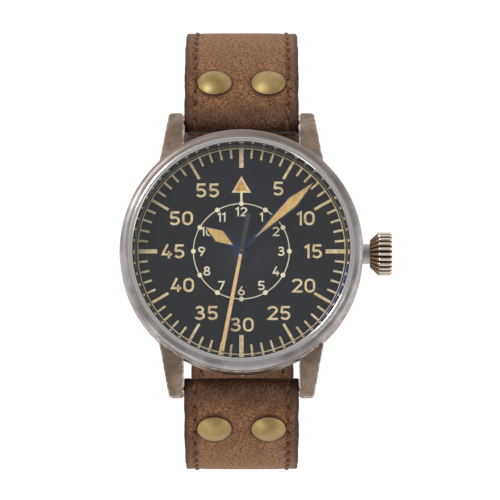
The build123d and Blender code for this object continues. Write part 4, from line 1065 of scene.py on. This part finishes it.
crown_mesh = bmesh.new()
flat = {}
ring = []
for x, r in CROWN_STOPS:
    places = rib_ring(r, x * crown_scale)
    if not ring:
        ring, edges = closed_ring(crown_mesh, [place for place, _ in places])
        inner_edges = list(edges)
    else:
        order = {v: i for i, v in enumerate(ring)}
        fresh, edges = grown(crown_mesh, edges)
        below = {v: order[side.other_vert(v)] for v in fresh for side in v.link_edges
                 if side.other_vert(v) in order}
        ring = sorted(fresh, key=below.get)
    for v, (place, high) in zip(ring, places):
        v.co = place
        flat[v] = (high, x)
for r in CROWN_END_RS:
    edges = round_ring(edges, r, crown_high.x - CROWN_END_SUNK, CROWN_END_PLACE)
bmesh.ops.holes_fill(crown_mesh, edges=edges, sides=0)
edges = inner_edges
for deep, kept in CROWN_BORE_STOPS:
    edges = round_ring(edges, CROWN_BORE, crown_low.x + deep, kept)
bmesh.ops.holes_fill(crown_mesh, edges=edges, sides=0)
keep_flat(crown_mesh, "rib_height", flat)
finished("fluted_crown", crown_mesh, ribbed, "crown", stands_for=("crown",),
         crease=radians(45))

# %% [markdown]
# ## The course of the strap
# Each half of the strap follows a route from its spring bar: a distance outward and a height, and
# the heading at that place, bent in arcs. Everything made of leather is worked out in those terms,
# as a saddler would on a flat bench, and then laid along the route.

# %% Strap course
BAR_OUT = 23.2
BAR_Z = 2.9
STRAP_HALF = 9.9
END_HALF = 9.2
TAPER_HIGH = -5.0
TAPER_LOW = -50.0
LEATHER_OUT = 1.9
LEATHER_IN = 1.5
BAR_SPACE = 0.85
WRAP_R = 1.85
FLAP_LONG = 2.85
LONG_12 = 75.0
LONG_6 = 107.0
STRAPS = {              # a leg is a length with the radius of its bend, or 0 where it runs straight
    "12": {"side": 1.0, "slope": 25.0, "long": LONG_12,
           "legs": ((30.5 * radians(65), 30.5), (LONG_12, 18.8))},
    "6": {"side": -1.0, "slope": 38.0, "long": LONG_6,
          "legs": ((9.5, 30.0), (22.0 * (radians(59) - 9.5 / 30.0), 22.0), (18.4, 0.0),
                   (26.0 * radians(83), 26.0), (LONG_6, 0.0))},
}


def station(strap, run):
    """Distance outward, height and heading after a run along the strap."""
    u, z, heading = BAR_OUT, BAR_Z, -radians(strap["slope"])
    for length, bend in strap["legs"]:
        part = min(max(run, 0.0), length)
        if bend:
            turned_to = heading - part / bend
            u += bend * (sin(heading) - sin(turned_to))
            z -= bend * (cos(heading) - cos(turned_to))
            heading = turned_to
        else:
            u += part * cos(heading)
            z += part * sin(heading)
        run -= part
        if run <= 0:
            break
    return u, z, heading


def half_width(z):
    """The strap's half width at a height: it tapers on its way down."""
    down = (TAPER_HIGH - z) / (TAPER_HIGH - TAPER_LOW)
    return STRAP_HALF - (STRAP_HALF - END_HALF) * min(max(down, 0.0), 1.0)


def laid(strap, x, run, out):
    """A place on the flat strap as a point of the watch. A run below 0 lies on the fold."""
    u, z, heading = station(strap, run)
    heading += max(-run, 0.0) / WRAP_R
    return Vector((x, strap["side"] * (u - out * sin(heading)), z + out * cos(heading)))


for name, strap in STRAPS.items():
    print("strap", name, "ends at", [round(c, 1) for c in laid(strap, 0.0, strap["long"], 0.0)])

# %% [markdown]
# ## Brown leather
# The leather is oiled calf with a pebbled grain. The strap's own flat coordinates, across and along
# in millimetres, are stored as a UV map, so the grain never stretches round the bends. Cells make
# the pebbles and their dark pores, a slanting noise the short strokes of the grain, and a long one
# the creases. The colour is darkest at the cut edges and near the bar, and a painted shadow darkens
# a ring round each rivet. Each row of `darkened` is one such mask: what it reads, where it is
# nothing, where it is full, and how strongly it tells.

# %% Leather materials
RIVET_RUN = 7.2
RIVET_X = 4.7
RIVET_R = 2.95


def hide(name, deep, middle, pale, roughness, grain):
    """Leather in three web colours, with a grain as deep as a share says."""
    finish = Finish(name, roughness, uv=True)
    finish.set("Specular IOR Level", 0.25)
    across = finish.sum("ABSOLUTE", finish.axis("X"))
    along = finish.axis("Y")
    both_sides = finish.add("VectorMath", operation="ABSOLUTE")
    finish.join(finish.place, both_sides.inputs[0])
    rivet_shadow = finish.radius((RIVET_X, RIVET_RUN), place=both_sides.outputs["Vector"])
    pebbles = finish.cells(3.1, feature="SMOOTH_F1", place=finish.stretched(y=0.85))
    pores = finish.cells(2.5, place=finish.stretched(0.75, 1.2))
    fine = finish.noise(5.0, detail=5.0, rough=0.75)
    strokes = finish.noise(2.4, detail=3.0, rough=0.7,
                           place=finish.stretched(0.8, 1.9, turn=radians(35.0)))
    creases = finish.noise(1.0, detail=4.0, rough=0.65, place=finish.stretched(0.5, 1.2), lumps=0.8)
    clouds = finish.ramp(finish.noise(0.28, detail=4.0), 0.34, 0.66)
    colour = finish.tones(clouds, middle, pale)
    colour = finish.over(colour, finish.ramp(along, 5.0, 20.0), 0.8, pale)
    darkened = (
        (fine, 0.5, 0.34, 0.5),
        (pores, 0.42, 0.12, 0.95),
        (strokes, 0.54, 0.4, 0.9),
        (creases, 0.44, 0.3, 0.35),
        (across, STRAP_HALF - 2.6, STRAP_HALF - 1.2, 0.3),
        (across, STRAP_HALF - 1.0, STRAP_HALF - 0.05, 0.85),
        (along, 5.0, -1.0, 0.7),
        # painted shadow: a dark ring on the leather round each rivet
        (rivet_shadow, RIVET_R + 0.7, RIVET_R, 0.7),
    )
    for value, none, full, share in darkened:
        colour = finish.over(colour, finish.ramp(value, none, full), share, deep)
    finish.feed("Base Color", colour)
    finish.feed("Roughness", finish.ramp(fine, 0.3, 0.7, roughness + 0.12, roughness - 0.06))
    first = finish.relief(creases, 0.12 * grain)
    second = finish.relief(finish.sum("MULTIPLY", pebbles, -1.0), 0.16 * grain, before=first)
    finish.relief(fine, 0.12 * grain, before=second)
    return finish


leather = hide("oiled_brown_leather", "36221a", "8a5d3d", "ae7a50", 0.6, 1.0)
lining = hide("brown_lining_leather", "412a1d", "74503a", "8a6248", 0.66, 0.6)
# painted shade: the keepers are a darker copy of the leather, for the shade they sit in
shaded_keeper_leather = hide("keeper_hide_painted_shade", "1f150f", "46352a", "5a4537", 0.62, 1.0)
for name, finish in (("strap_12_outer", leather), ("strap_6_outer", leather),
                     ("strap_12_lining", lining), ("strap_6_lining", lining),
                     ("fixed_keeper", shaded_keeper_leather), ("sliding_keeper", shaded_keeper_leather)):
    wear(name, finish)

thread = Finish("waxed_brown_thread", 0.48)
thread.set("Specular IOR Level", 0.2)
strands = thread.add("TexWave", {"Scale": 1.3, "Distortion": 1.0}, wave_type="BANDS",
                     bands_direction="DIAGONAL")
thread.join(thread.place, strands.inputs["Vector"])
twist_and_highlight = strands.outputs["Fac"]
# painted highlight: lighter bands along the twist stand in for light on the strands
thread.feed("Base Color", thread.tones(thread.ramp(twist_and_highlight, 0.2, 0.8), "3b2416", "865a3b"))
thread.relief(twist_and_highlight, 0.06)
# painted shade: dark flattened beads stand in for the shade in each stitch hole
hole_shade_finish = Finish("stitch_hole_painted_shade", 0.9)
hole_shade_finish.feed("Base Color", hole_shade_finish.tones(hole_shade_finish.noise(3.0), "1f140e", "2c1d14"))
print("leather, lining and thread are mixed")

# %% [markdown]
# ## Sweeping a leather section
# A strap is one closed section, extruded from stop to stop. Each `Stop` gives the middle of the
# strap, the way its outside faces, how far the near and far faces lie from the middle, a half
# width, and the run on the flat strap. The section is written across from -1 to 1 and from the near
# face at 0 to the far face at 1, with rounded edges and a shallow valley where the stitches pull
# the leather down.

# %% Section and sweep
VALLEY = 0.89
STITCH_IN = 1.85
EDGE_POINTS = ((0.0, 0.4), (0.02, 0.82), (0.12, 0.93), (0.35, 0.965), (0.9, 0.97), (1.4, 0.94),
               (STITCH_IN, VALLEY), (2.3, 0.94), (2.9, 0.98), (4.2, 0.992), (6.5, 1.0))
BACK_POINTS = ((5.0, 0.0), (0.7, 0.0), (0.2, 0.06), (0.02, 0.24))
WOBBLES = ((0.05, 0.8, 0.0), (0.03, 2.1, 1.0))  # depth, radians to the millimetre and start

Stop = namedtuple("Stop", "middle out near far half run")


def section():
    """The closed outline of a strip of leather, left to right over the top and back below."""
    left = [(-1 + e / STRAP_HALF, t) for e, t in EDGE_POINTS]
    right = [(-x, t) for x, t in reversed(left)]
    below = [(1 - e / STRAP_HALF, t) for e, t in reversed(BACK_POINTS)]
    back = [(-x, t) for x, t in reversed(below)]
    return [*left, (0.0, 1.0), *right, *below, *back]


def stop_frame(side, stop):
    """The matrix that puts the section at a stop of the strap."""
    (u, z), (out_u, out_z) = stop.middle, stop.out
    across = Vector((stop.half, 0, 0))
    upward = Vector((0, side * out_u, out_z)) * (stop.far - stop.near)
    ahead = Vector((0, side * out_z, -out_u))
    turn = Matrix((across, upward, ahead)).transposed().to_4x4()
    place = (0, side * (u + out_u * stop.near), z + out_z * stop.near)
    return Matrix.Translation(place) @ turn


def carried(mesh, ring, edges, frames, kept):
    """Grows a ring from frame to frame, and keeps the flat place of each of its vertices."""
    flat = {v: kept(v, 0) for v in ring}
    for i in range(1, len(frames)):
        ring, edges = grown(mesh, edges)
        bmesh.ops.transform(mesh, matrix=frames[i] @ frames[i - 1].inverted(), verts=list(ring))
        flat.update({v: kept(v, i) for v in ring})
    return edges, flat


def swept(side, stops):
    """Extrudes the section from stop to stop, with the flat coordinates kept as a UV map."""
    mesh = bmesh.new()
    frames = [stop_frame(side, stop) for stop in stops]
    ring, edges = closed_ring(mesh, [frames[0] @ Vector((x, t, 0)) for x, t in section()])
    flat = carried(mesh, ring, edges, frames,
                   lambda v, i: (v.co.x / stops[i].half * STRAP_HALF, stops[i].run))[1]
    open_edges = [edge for edge in mesh.edges if edge.is_boundary]
    bmesh.ops.holes_fill(mesh, edges=open_edges, sides=0)
    keep_flat(mesh, "flat_leather", flat)
    return mesh


def wobble(run):
    """A hand-cut edge is never quite straight."""
    return sum(deep * sin(run * often + start) for deep, often, start in WOBBLES)


def hollow(run, least):
    """How far the leather stays from the middle line beside the bar that it wraps."""
    return max(sqrt(max(BAR_SPACE ** 2 - run ** 2, 0.0)), least)


print("a section has", len(section()), "points")

# %% [markdown]
# ## Outer leather
# The outer leather is folded round the spring bar before it is glued down, so its sweep starts
# beneath, goes round the bar and only then sets off along the strap. On the short side it is folded
# once more round the buckle's bar, with a slot for the tongue. The long side ends in a rounded tip
# and has seven holes, which a Boolean punches through both leathers.

# %% Outer leather
STOP_APART = 0.8
FOLD_STEPS = 12
TIP_DEEP = 6.0
TIP_BALL = (END_HALF ** 2 + TIP_DEEP ** 2) / (2 * TIP_DEEP)
HOLE_R = 1.0
SLOT_W = 3.6
SLOT_BACK = 4.0
SLOT_AHEAD = 2.5
CUT_DEEP = 8.0
HOLE_SIDES = 28
FLAP_OUT = 1.45
FLAP_PLACE = 3.0        # puts the folded end on the flat strap before its bar
FLAP_CLEAR = 0.05       # the least distance from the middle line, beneath it and above
TOP_CLEAR = 0.02
TIP_LEAST = 0.5         # the half width where the long side ends
TAIL_HOLES = [LONG_6 - 22.0 - 6.5 * i for i in range(7)]
NEAR_BAR = (0.15, 0.4, 0.7, 1.1, 1.6, 2.2, FLAP_LONG)
NEAR_TIP = (0.04, 0.15, 0.35, 0.6, 1.0, 1.5, 2.0)


def facing_out(heading):
    """The direction of the strap's outside, where it has a heading."""
    return (-sin(heading), cos(heading))


def half_at(strap, run):
    """The strap's half width, rounded off towards the tip of the long side."""
    half = half_width(station(strap, run)[1]) + wobble(run)
    left = strap["long"] - run
    if strap["side"] < 0 and left < TIP_DEEP:
        return min(half, sqrt(max(2 * TIP_BALL * left - left ** 2, TIP_LEAST ** 2)))
    return half


def fold(strap, run, turns):
    """Stops round a bar, by their angle from the outside of the strap in degrees."""
    u, z, heading = station(strap, run)
    return [Stop((u, z), facing_out(heading + radians(turn)), BAR_SPACE, WRAP_R,
                 half_at(strap, run), run - radians(turn) * BAR_SPACE) for turn in turns]


def flap(strap, run, ahead):
    """Stops of the folded end beneath the strap, ahead of a bar."""
    stops = []
    for far in NEAR_BAR:
        u, z, heading = station(strap, run + ahead * far)
        outer = WRAP_R + (FLAP_OUT - WRAP_R) * far / FLAP_LONG
        stops.append(Stop((u, z), facing_out(heading + pi), hollow(far, FLAP_CLEAR), outer,
                          half_at(strap, run), run - ahead * (far + FLAP_PLACE)))
    return stops


def top_stops(strap, first, last):
    """Stops along the outside of the strap, close together at the bars and at the tip."""
    count = int((last - first) / STOP_APART)
    runs = {first + (last - first) * i / count for i in range(count + 1)}
    runs |= {first + near for near in NEAR_BAR}
    if strap["side"] > 0:
        runs |= {last - near for near in NEAR_BAR}
    else:
        runs |= {last - deep for deep in NEAR_TIP}
        runs.discard(last)
    stops = []
    for run in sorted(runs):
        u, z, heading = station(strap, run)
        closest = run - first if strap["side"] < 0 else min(run - first, last - run)
        outer = WRAP_R + (LEATHER_OUT - WRAP_R) * min(closest, 1.0)
        stops.append(Stop((u, z), facing_out(heading), hollow(closest, TOP_CLEAR), outer,
                          half_at(strap, run), run))
    return stops


def cutters_for(strap):
    """A block through the fold at the buckle, or a cylinder at each hole of the long side."""
    mesh = bmesh.new()
    for run in [strap["long"]] if strap["side"] > 0 else TAIL_HOLES:
        if strap["side"] > 0:
            made = bmesh.ops.create_cube(mesh, size=1.0)["verts"]
            bmesh.ops.scale(mesh, verts=made, vec=(SLOT_W, SLOT_BACK + SLOT_AHEAD, CUT_DEEP))
            bmesh.ops.translate(mesh, verts=made, vec=(0, (SLOT_AHEAD - SLOT_BACK) / 2, 0))
        else:
            made = bmesh.ops.create_cone(mesh, cap_ends=True, segments=HOLE_SIDES, radius1=HOLE_R,
                                         radius2=HOLE_R, depth=CUT_DEEP)["verts"]
        turned_about(mesh, made, strap["side"] * station(strap, run)[2], "X")
        bmesh.ops.translate(mesh, verts=made, vec=laid(strap, 0.0, run, 0.0))
    return mesh


def strap_piece(name, end, stops, finish, stands_for):
    """One leather of a strap half, swept, pierced and creased at its cut edges."""
    strap = STRAPS[name]
    finished("strap_" + name + end, swept(strap["side"], stops), finish, "strap_" + name,
             stands_for=("strap_" + name + stands_for,), crease=radians(50),
             cutters=cutters_for(strap))


fold_turns = [180.0 * i / FOLD_STEPS for i in range(FOLD_STEPS + 1)]
for name, strap in STRAPS.items():
    stops = [*reversed(flap(strap, 0.0, 1)), *fold(strap, 0.0, reversed(fold_turns)),
             *top_stops(strap, 0.0, strap["long"])]
    if strap["side"] > 0:
        stops += [*fold(strap, strap["long"], [-turn for turn in fold_turns]),
                  *flap(strap, strap["long"], -1)]
    strap_piece(name, "_leather", stops, leather, "_outer")

# %% [markdown]
# ## Lining
# The lining is a plain strip glued beneath, starting where the folded end of the outer leather
# stops. It has the same edge and the same line of stitches, which come out on the wrist side.

# %% Lining
LINING_START = 2.95

for name, strap in STRAPS.items():
    last = strap["long"] - (LINING_START if strap["side"] > 0 else 0.0)
    stops = [stop._replace(out=(-stop.out[0], -stop.out[1]), near=0.0, far=LEATHER_IN)
             for stop in top_stops(strap, LINING_START, last)]
    strap_piece(name, "_wrist_lining", stops, lining, "_lining")

# %% [markdown]
# ## Stitches
# A saddle stitch runs in the valley near the edge all the way down each side, and round the tip of
# the long strap. Each stitch is a small sphere drawn out along the line, turned a few degrees the
# way waxed thread settles, and at both ends it dives into a punched hole, drawn as a flat dark bead
# of painted shade.

# %% Stitches
STITCH_APART = 2.75
STITCH_HALF = 1.16
STITCH_R = 0.33
STITCH_TURN = radians(12.0)
FIRST_STITCH = 1.1 - STITCH_APART       # on the fold, round the spring bar
LAST_STITCH = 3.4
STITCH_FACES = ((LEATHER_OUT * VALLEY + 0.1, 1), (-LEATHER_IN * VALLEY - 0.06, -1))
HOLE_SHADE_SIZE = (0.3, 0.34, 0.12)
HOLE_SHADE_SINK = 0.06


def stitch_line(strap):
    """Places of the stitches on the flat strap, as (across, along, direction)."""
    places = []
    last = strap["long"] - (LAST_STITCH if strap["side"] > 0 else TIP_DEEP)
    count = int((last - FIRST_STITCH) / STITCH_APART)
    for side in (-1, 1):
        for i in range(count + 1):
            run = FIRST_STITCH + (last - FIRST_STITCH) * i / count
            places.append((side * (half_width(station(strap, run)[1]) - STITCH_IN), run, 0.0))
    if strap["side"] < 0:
        ball = TIP_BALL - STITCH_IN
        spread = atan2(END_HALF - STITCH_IN, TIP_BALL - TIP_DEEP)
        steps = int(2 * spread * ball / STITCH_APART)
        for i in range(1, steps):
            angle = -spread + 2 * spread * i / steps
            places.append((ball * sin(angle), strap["long"] - TIP_BALL + ball * cos(angle),
                           angle + pi / 2))
    return places


def bead(mesh, strap, size, turn, x, run, out):
    """A small stretched sphere laid on the strap."""
    made = bmesh.ops.create_icosphere(mesh, subdivisions=2, radius=1.0)["verts"]
    bmesh.ops.scale(mesh, verts=made, vec=size)
    turned_about(mesh, made, turn)
    for v in made:
        v.co = laid(strap, x + v.co.x, run + v.co.y, out + v.co.z)


for name, strap in STRAPS.items():
    threads = bmesh.new()
    holes = bmesh.new()
    for out, lean in STITCH_FACES:
        for x, run, direction in stitch_line(strap):
            if run < 0 and lean < 0:
                continue
            bead(threads, strap, (STITCH_R, STITCH_HALF, STITCH_R * 0.85),
                 lean * STITCH_TURN - direction, x, run, out)
            bead(holes, strap, HOLE_SHADE_SIZE, 0.0, x + STITCH_APART / 2 * sin(direction),
                 run + STITCH_APART / 2 * cos(direction), out - lean * HOLE_SHADE_SINK)
    finished("strap_" + name + "_stitches", threads, thread, "strap_" + name)
    finished("strap_" + name + "_stitch_holes", holes, hole_shade_finish, "strap_" + name)

# %% [markdown]
# ## Keepers
# A keeper is a narrow band of leather closed into a loop, painted darker as painted shade. Its small
# rounded section goes once round a rounded rectangle on the flat bench, the ends are bridged, and
# the loop is laid on the strap where it sits.

# %% Keepers
KEEPER_W = 6.0
KEEPER_WALL = 0.9
KEEPER_GAP = 0.3
KEEPER_CORNER = 1.0
CORNER_STEPS = 6
KEEPER_EDGE_POINTS = ((0.0, -0.6), (0.0, 0.4), (0.25, 0.85), (0.8, 1.0))
KEEPER_MIDDLE = 0.92    # heights, here and in the points above, are shares of half the wall
KEEPER_UNDER_IN = 0.3
KEEPERS = {"fixed": (65.0, "strap_12"), "sliding": (58.5, "sliding_keeper")}    # run and body


def loop_path(half, low, high):
    """Points and outward directions round a rounded rectangle."""
    path = []
    for turn, (x, h) in enumerate(((half, high), (-half, high), (-half, low), (half, low))):
        centre = (x - KEEPER_CORNER * (1 if x > 0 else -1),
                  h - KEEPER_CORNER * (1 if h == high else -1))
        for i in range(CORNER_STEPS + 1):
            angle = pi / 2 * (turn + i / CORNER_STEPS)
            out = (cos(angle), sin(angle))
            path.append(([c + KEEPER_CORNER * o for c, o in zip(centre, out)], out))
    return path


def keeper_mesh(strap, run):
    """A leather loop with its middle at the keeper's place."""
    inner = half_width(station(strap, run)[1]) + KEEPER_GAP
    half = KEEPER_W / 2
    wall = KEEPER_WALL / 2
    path = loop_path(inner + wall, -LEATHER_IN - KEEPER_GAP - wall,
                     2 * LEATHER_OUT + LEATHER_IN + 2 * KEEPER_GAP + wall)
    left = [(e - half, t * wall) for e, t in KEEPER_EDGE_POINTS]
    outline = [*left, (0.0, KEEPER_MIDDLE * wall), *((-x, t) for x, t in reversed(left)),
               (half - KEEPER_UNDER_IN, -wall), (KEEPER_UNDER_IN - half, -wall)]
    frames = []
    gone = [0.0]
    for (x, h), (out_x, out_h) in path:
        turn = Matrix(((0, 1, 0), (out_x, 0, out_h), (-out_h, 0, out_x))).transposed().to_4x4()
        frames.append(Matrix.Translation((x, run + half, h)) @ turn)
    for before, frame in zip(frames, frames[1:]):
        gone.append(gone[-1] + (frame.translation - before.translation).length)
    mesh = bmesh.new()
    ring, first = closed_ring(mesh, [frames[0] @ Vector((a, b, 0)) for a, b in outline])
    last, flat = carried(mesh, ring, list(first), frames,
                         lambda v, i: (v.co.y - run - half, gone[i]))
    bmesh.ops.bridge_loops(mesh, edges=first + last)
    keep_flat(mesh, "flat_leather", flat)
    for v in mesh.verts:
        v.co = laid(strap, *v.co)
    return mesh


for name, (run, body) in KEEPERS.items():
    finished(name + "_keeper_loop", keeper_mesh(STRAPS["12"], run), shaded_keeper_leather, body,
             stands_for=(name + "_keeper",), crease=radians(60))

# %% [markdown]
# ## Rivets
# A rivet is turned brass too: a low dome with a rolled rim, a shank through both leathers and a
# flat back head. The outline is spun upright at the origin and then stood square on the strap.

# %% Rivets
RIVET_DOME = 1.15
RIVET_SHANK_R = 1.0
RIVET_BACK_R = 2.4
RIVET_BACK = 0.4
RIVET_RIM = 0.14
RIVET_DOME_IN = 0.08            # the dome and the foot start this far inside the head
RIVET_FOOT_IN = 0.05
RIVET_ROUND = 0.15
RIVET_SEAT = 0.02               # how far each head stays off the leather
RIVET_BACK_SEAT = 0.12
RIVET_STEPS = 64


def rivet(mesh, strap, x):
    """Spins one rivet and stands it on the strap."""
    seat = LEATHER_OUT + RIVET_SEAT
    under = -LEATHER_IN - RIVET_BACK_SEAT
    cap = dome(RIVET_R - RIVET_DOME_IN, seat + RIVET_RIM, RIVET_DOME - RIVET_RIM)
    back = under - RIVET_BACK
    profile = [(0.0, back), (RIVET_BACK_R - RIVET_ROUND, back), (RIVET_BACK_R, back + RIVET_ROUND),
               (RIVET_BACK_R, under), (RIVET_SHANK_R, under), (RIVET_SHANK_R, seat),
               (RIVET_R - RIVET_FOOT_IN, seat), (RIVET_R, seat + RIVET_RIM / 2), *cap]
    one = bmesh.new()
    turned(one, profile, RIVET_STEPS)
    u, z, heading = station(strap, RIVET_RUN)
    side = strap["side"]
    stand = Matrix.Translation((x, side * u, z)) @ Matrix.Rotation(side * heading, 4, "X")
    bmesh.ops.transform(one, matrix=stand, verts=one.verts)
    data = bpy.data.meshes.new("one_rivet")
    one.to_mesh(data)
    one.free()
    mesh.from_mesh(data)
    bpy.data.meshes.remove(data)


for name, strap in STRAPS.items():
    pair = bmesh.new()
    for x in (-RIVET_X, RIVET_X):
        rivet(pair, strap, x)
    finished("rivet_pair_" + name, pair, brass, "strap_" + name,
             stands_for=("rivets_" + name,), crease=radians(40))
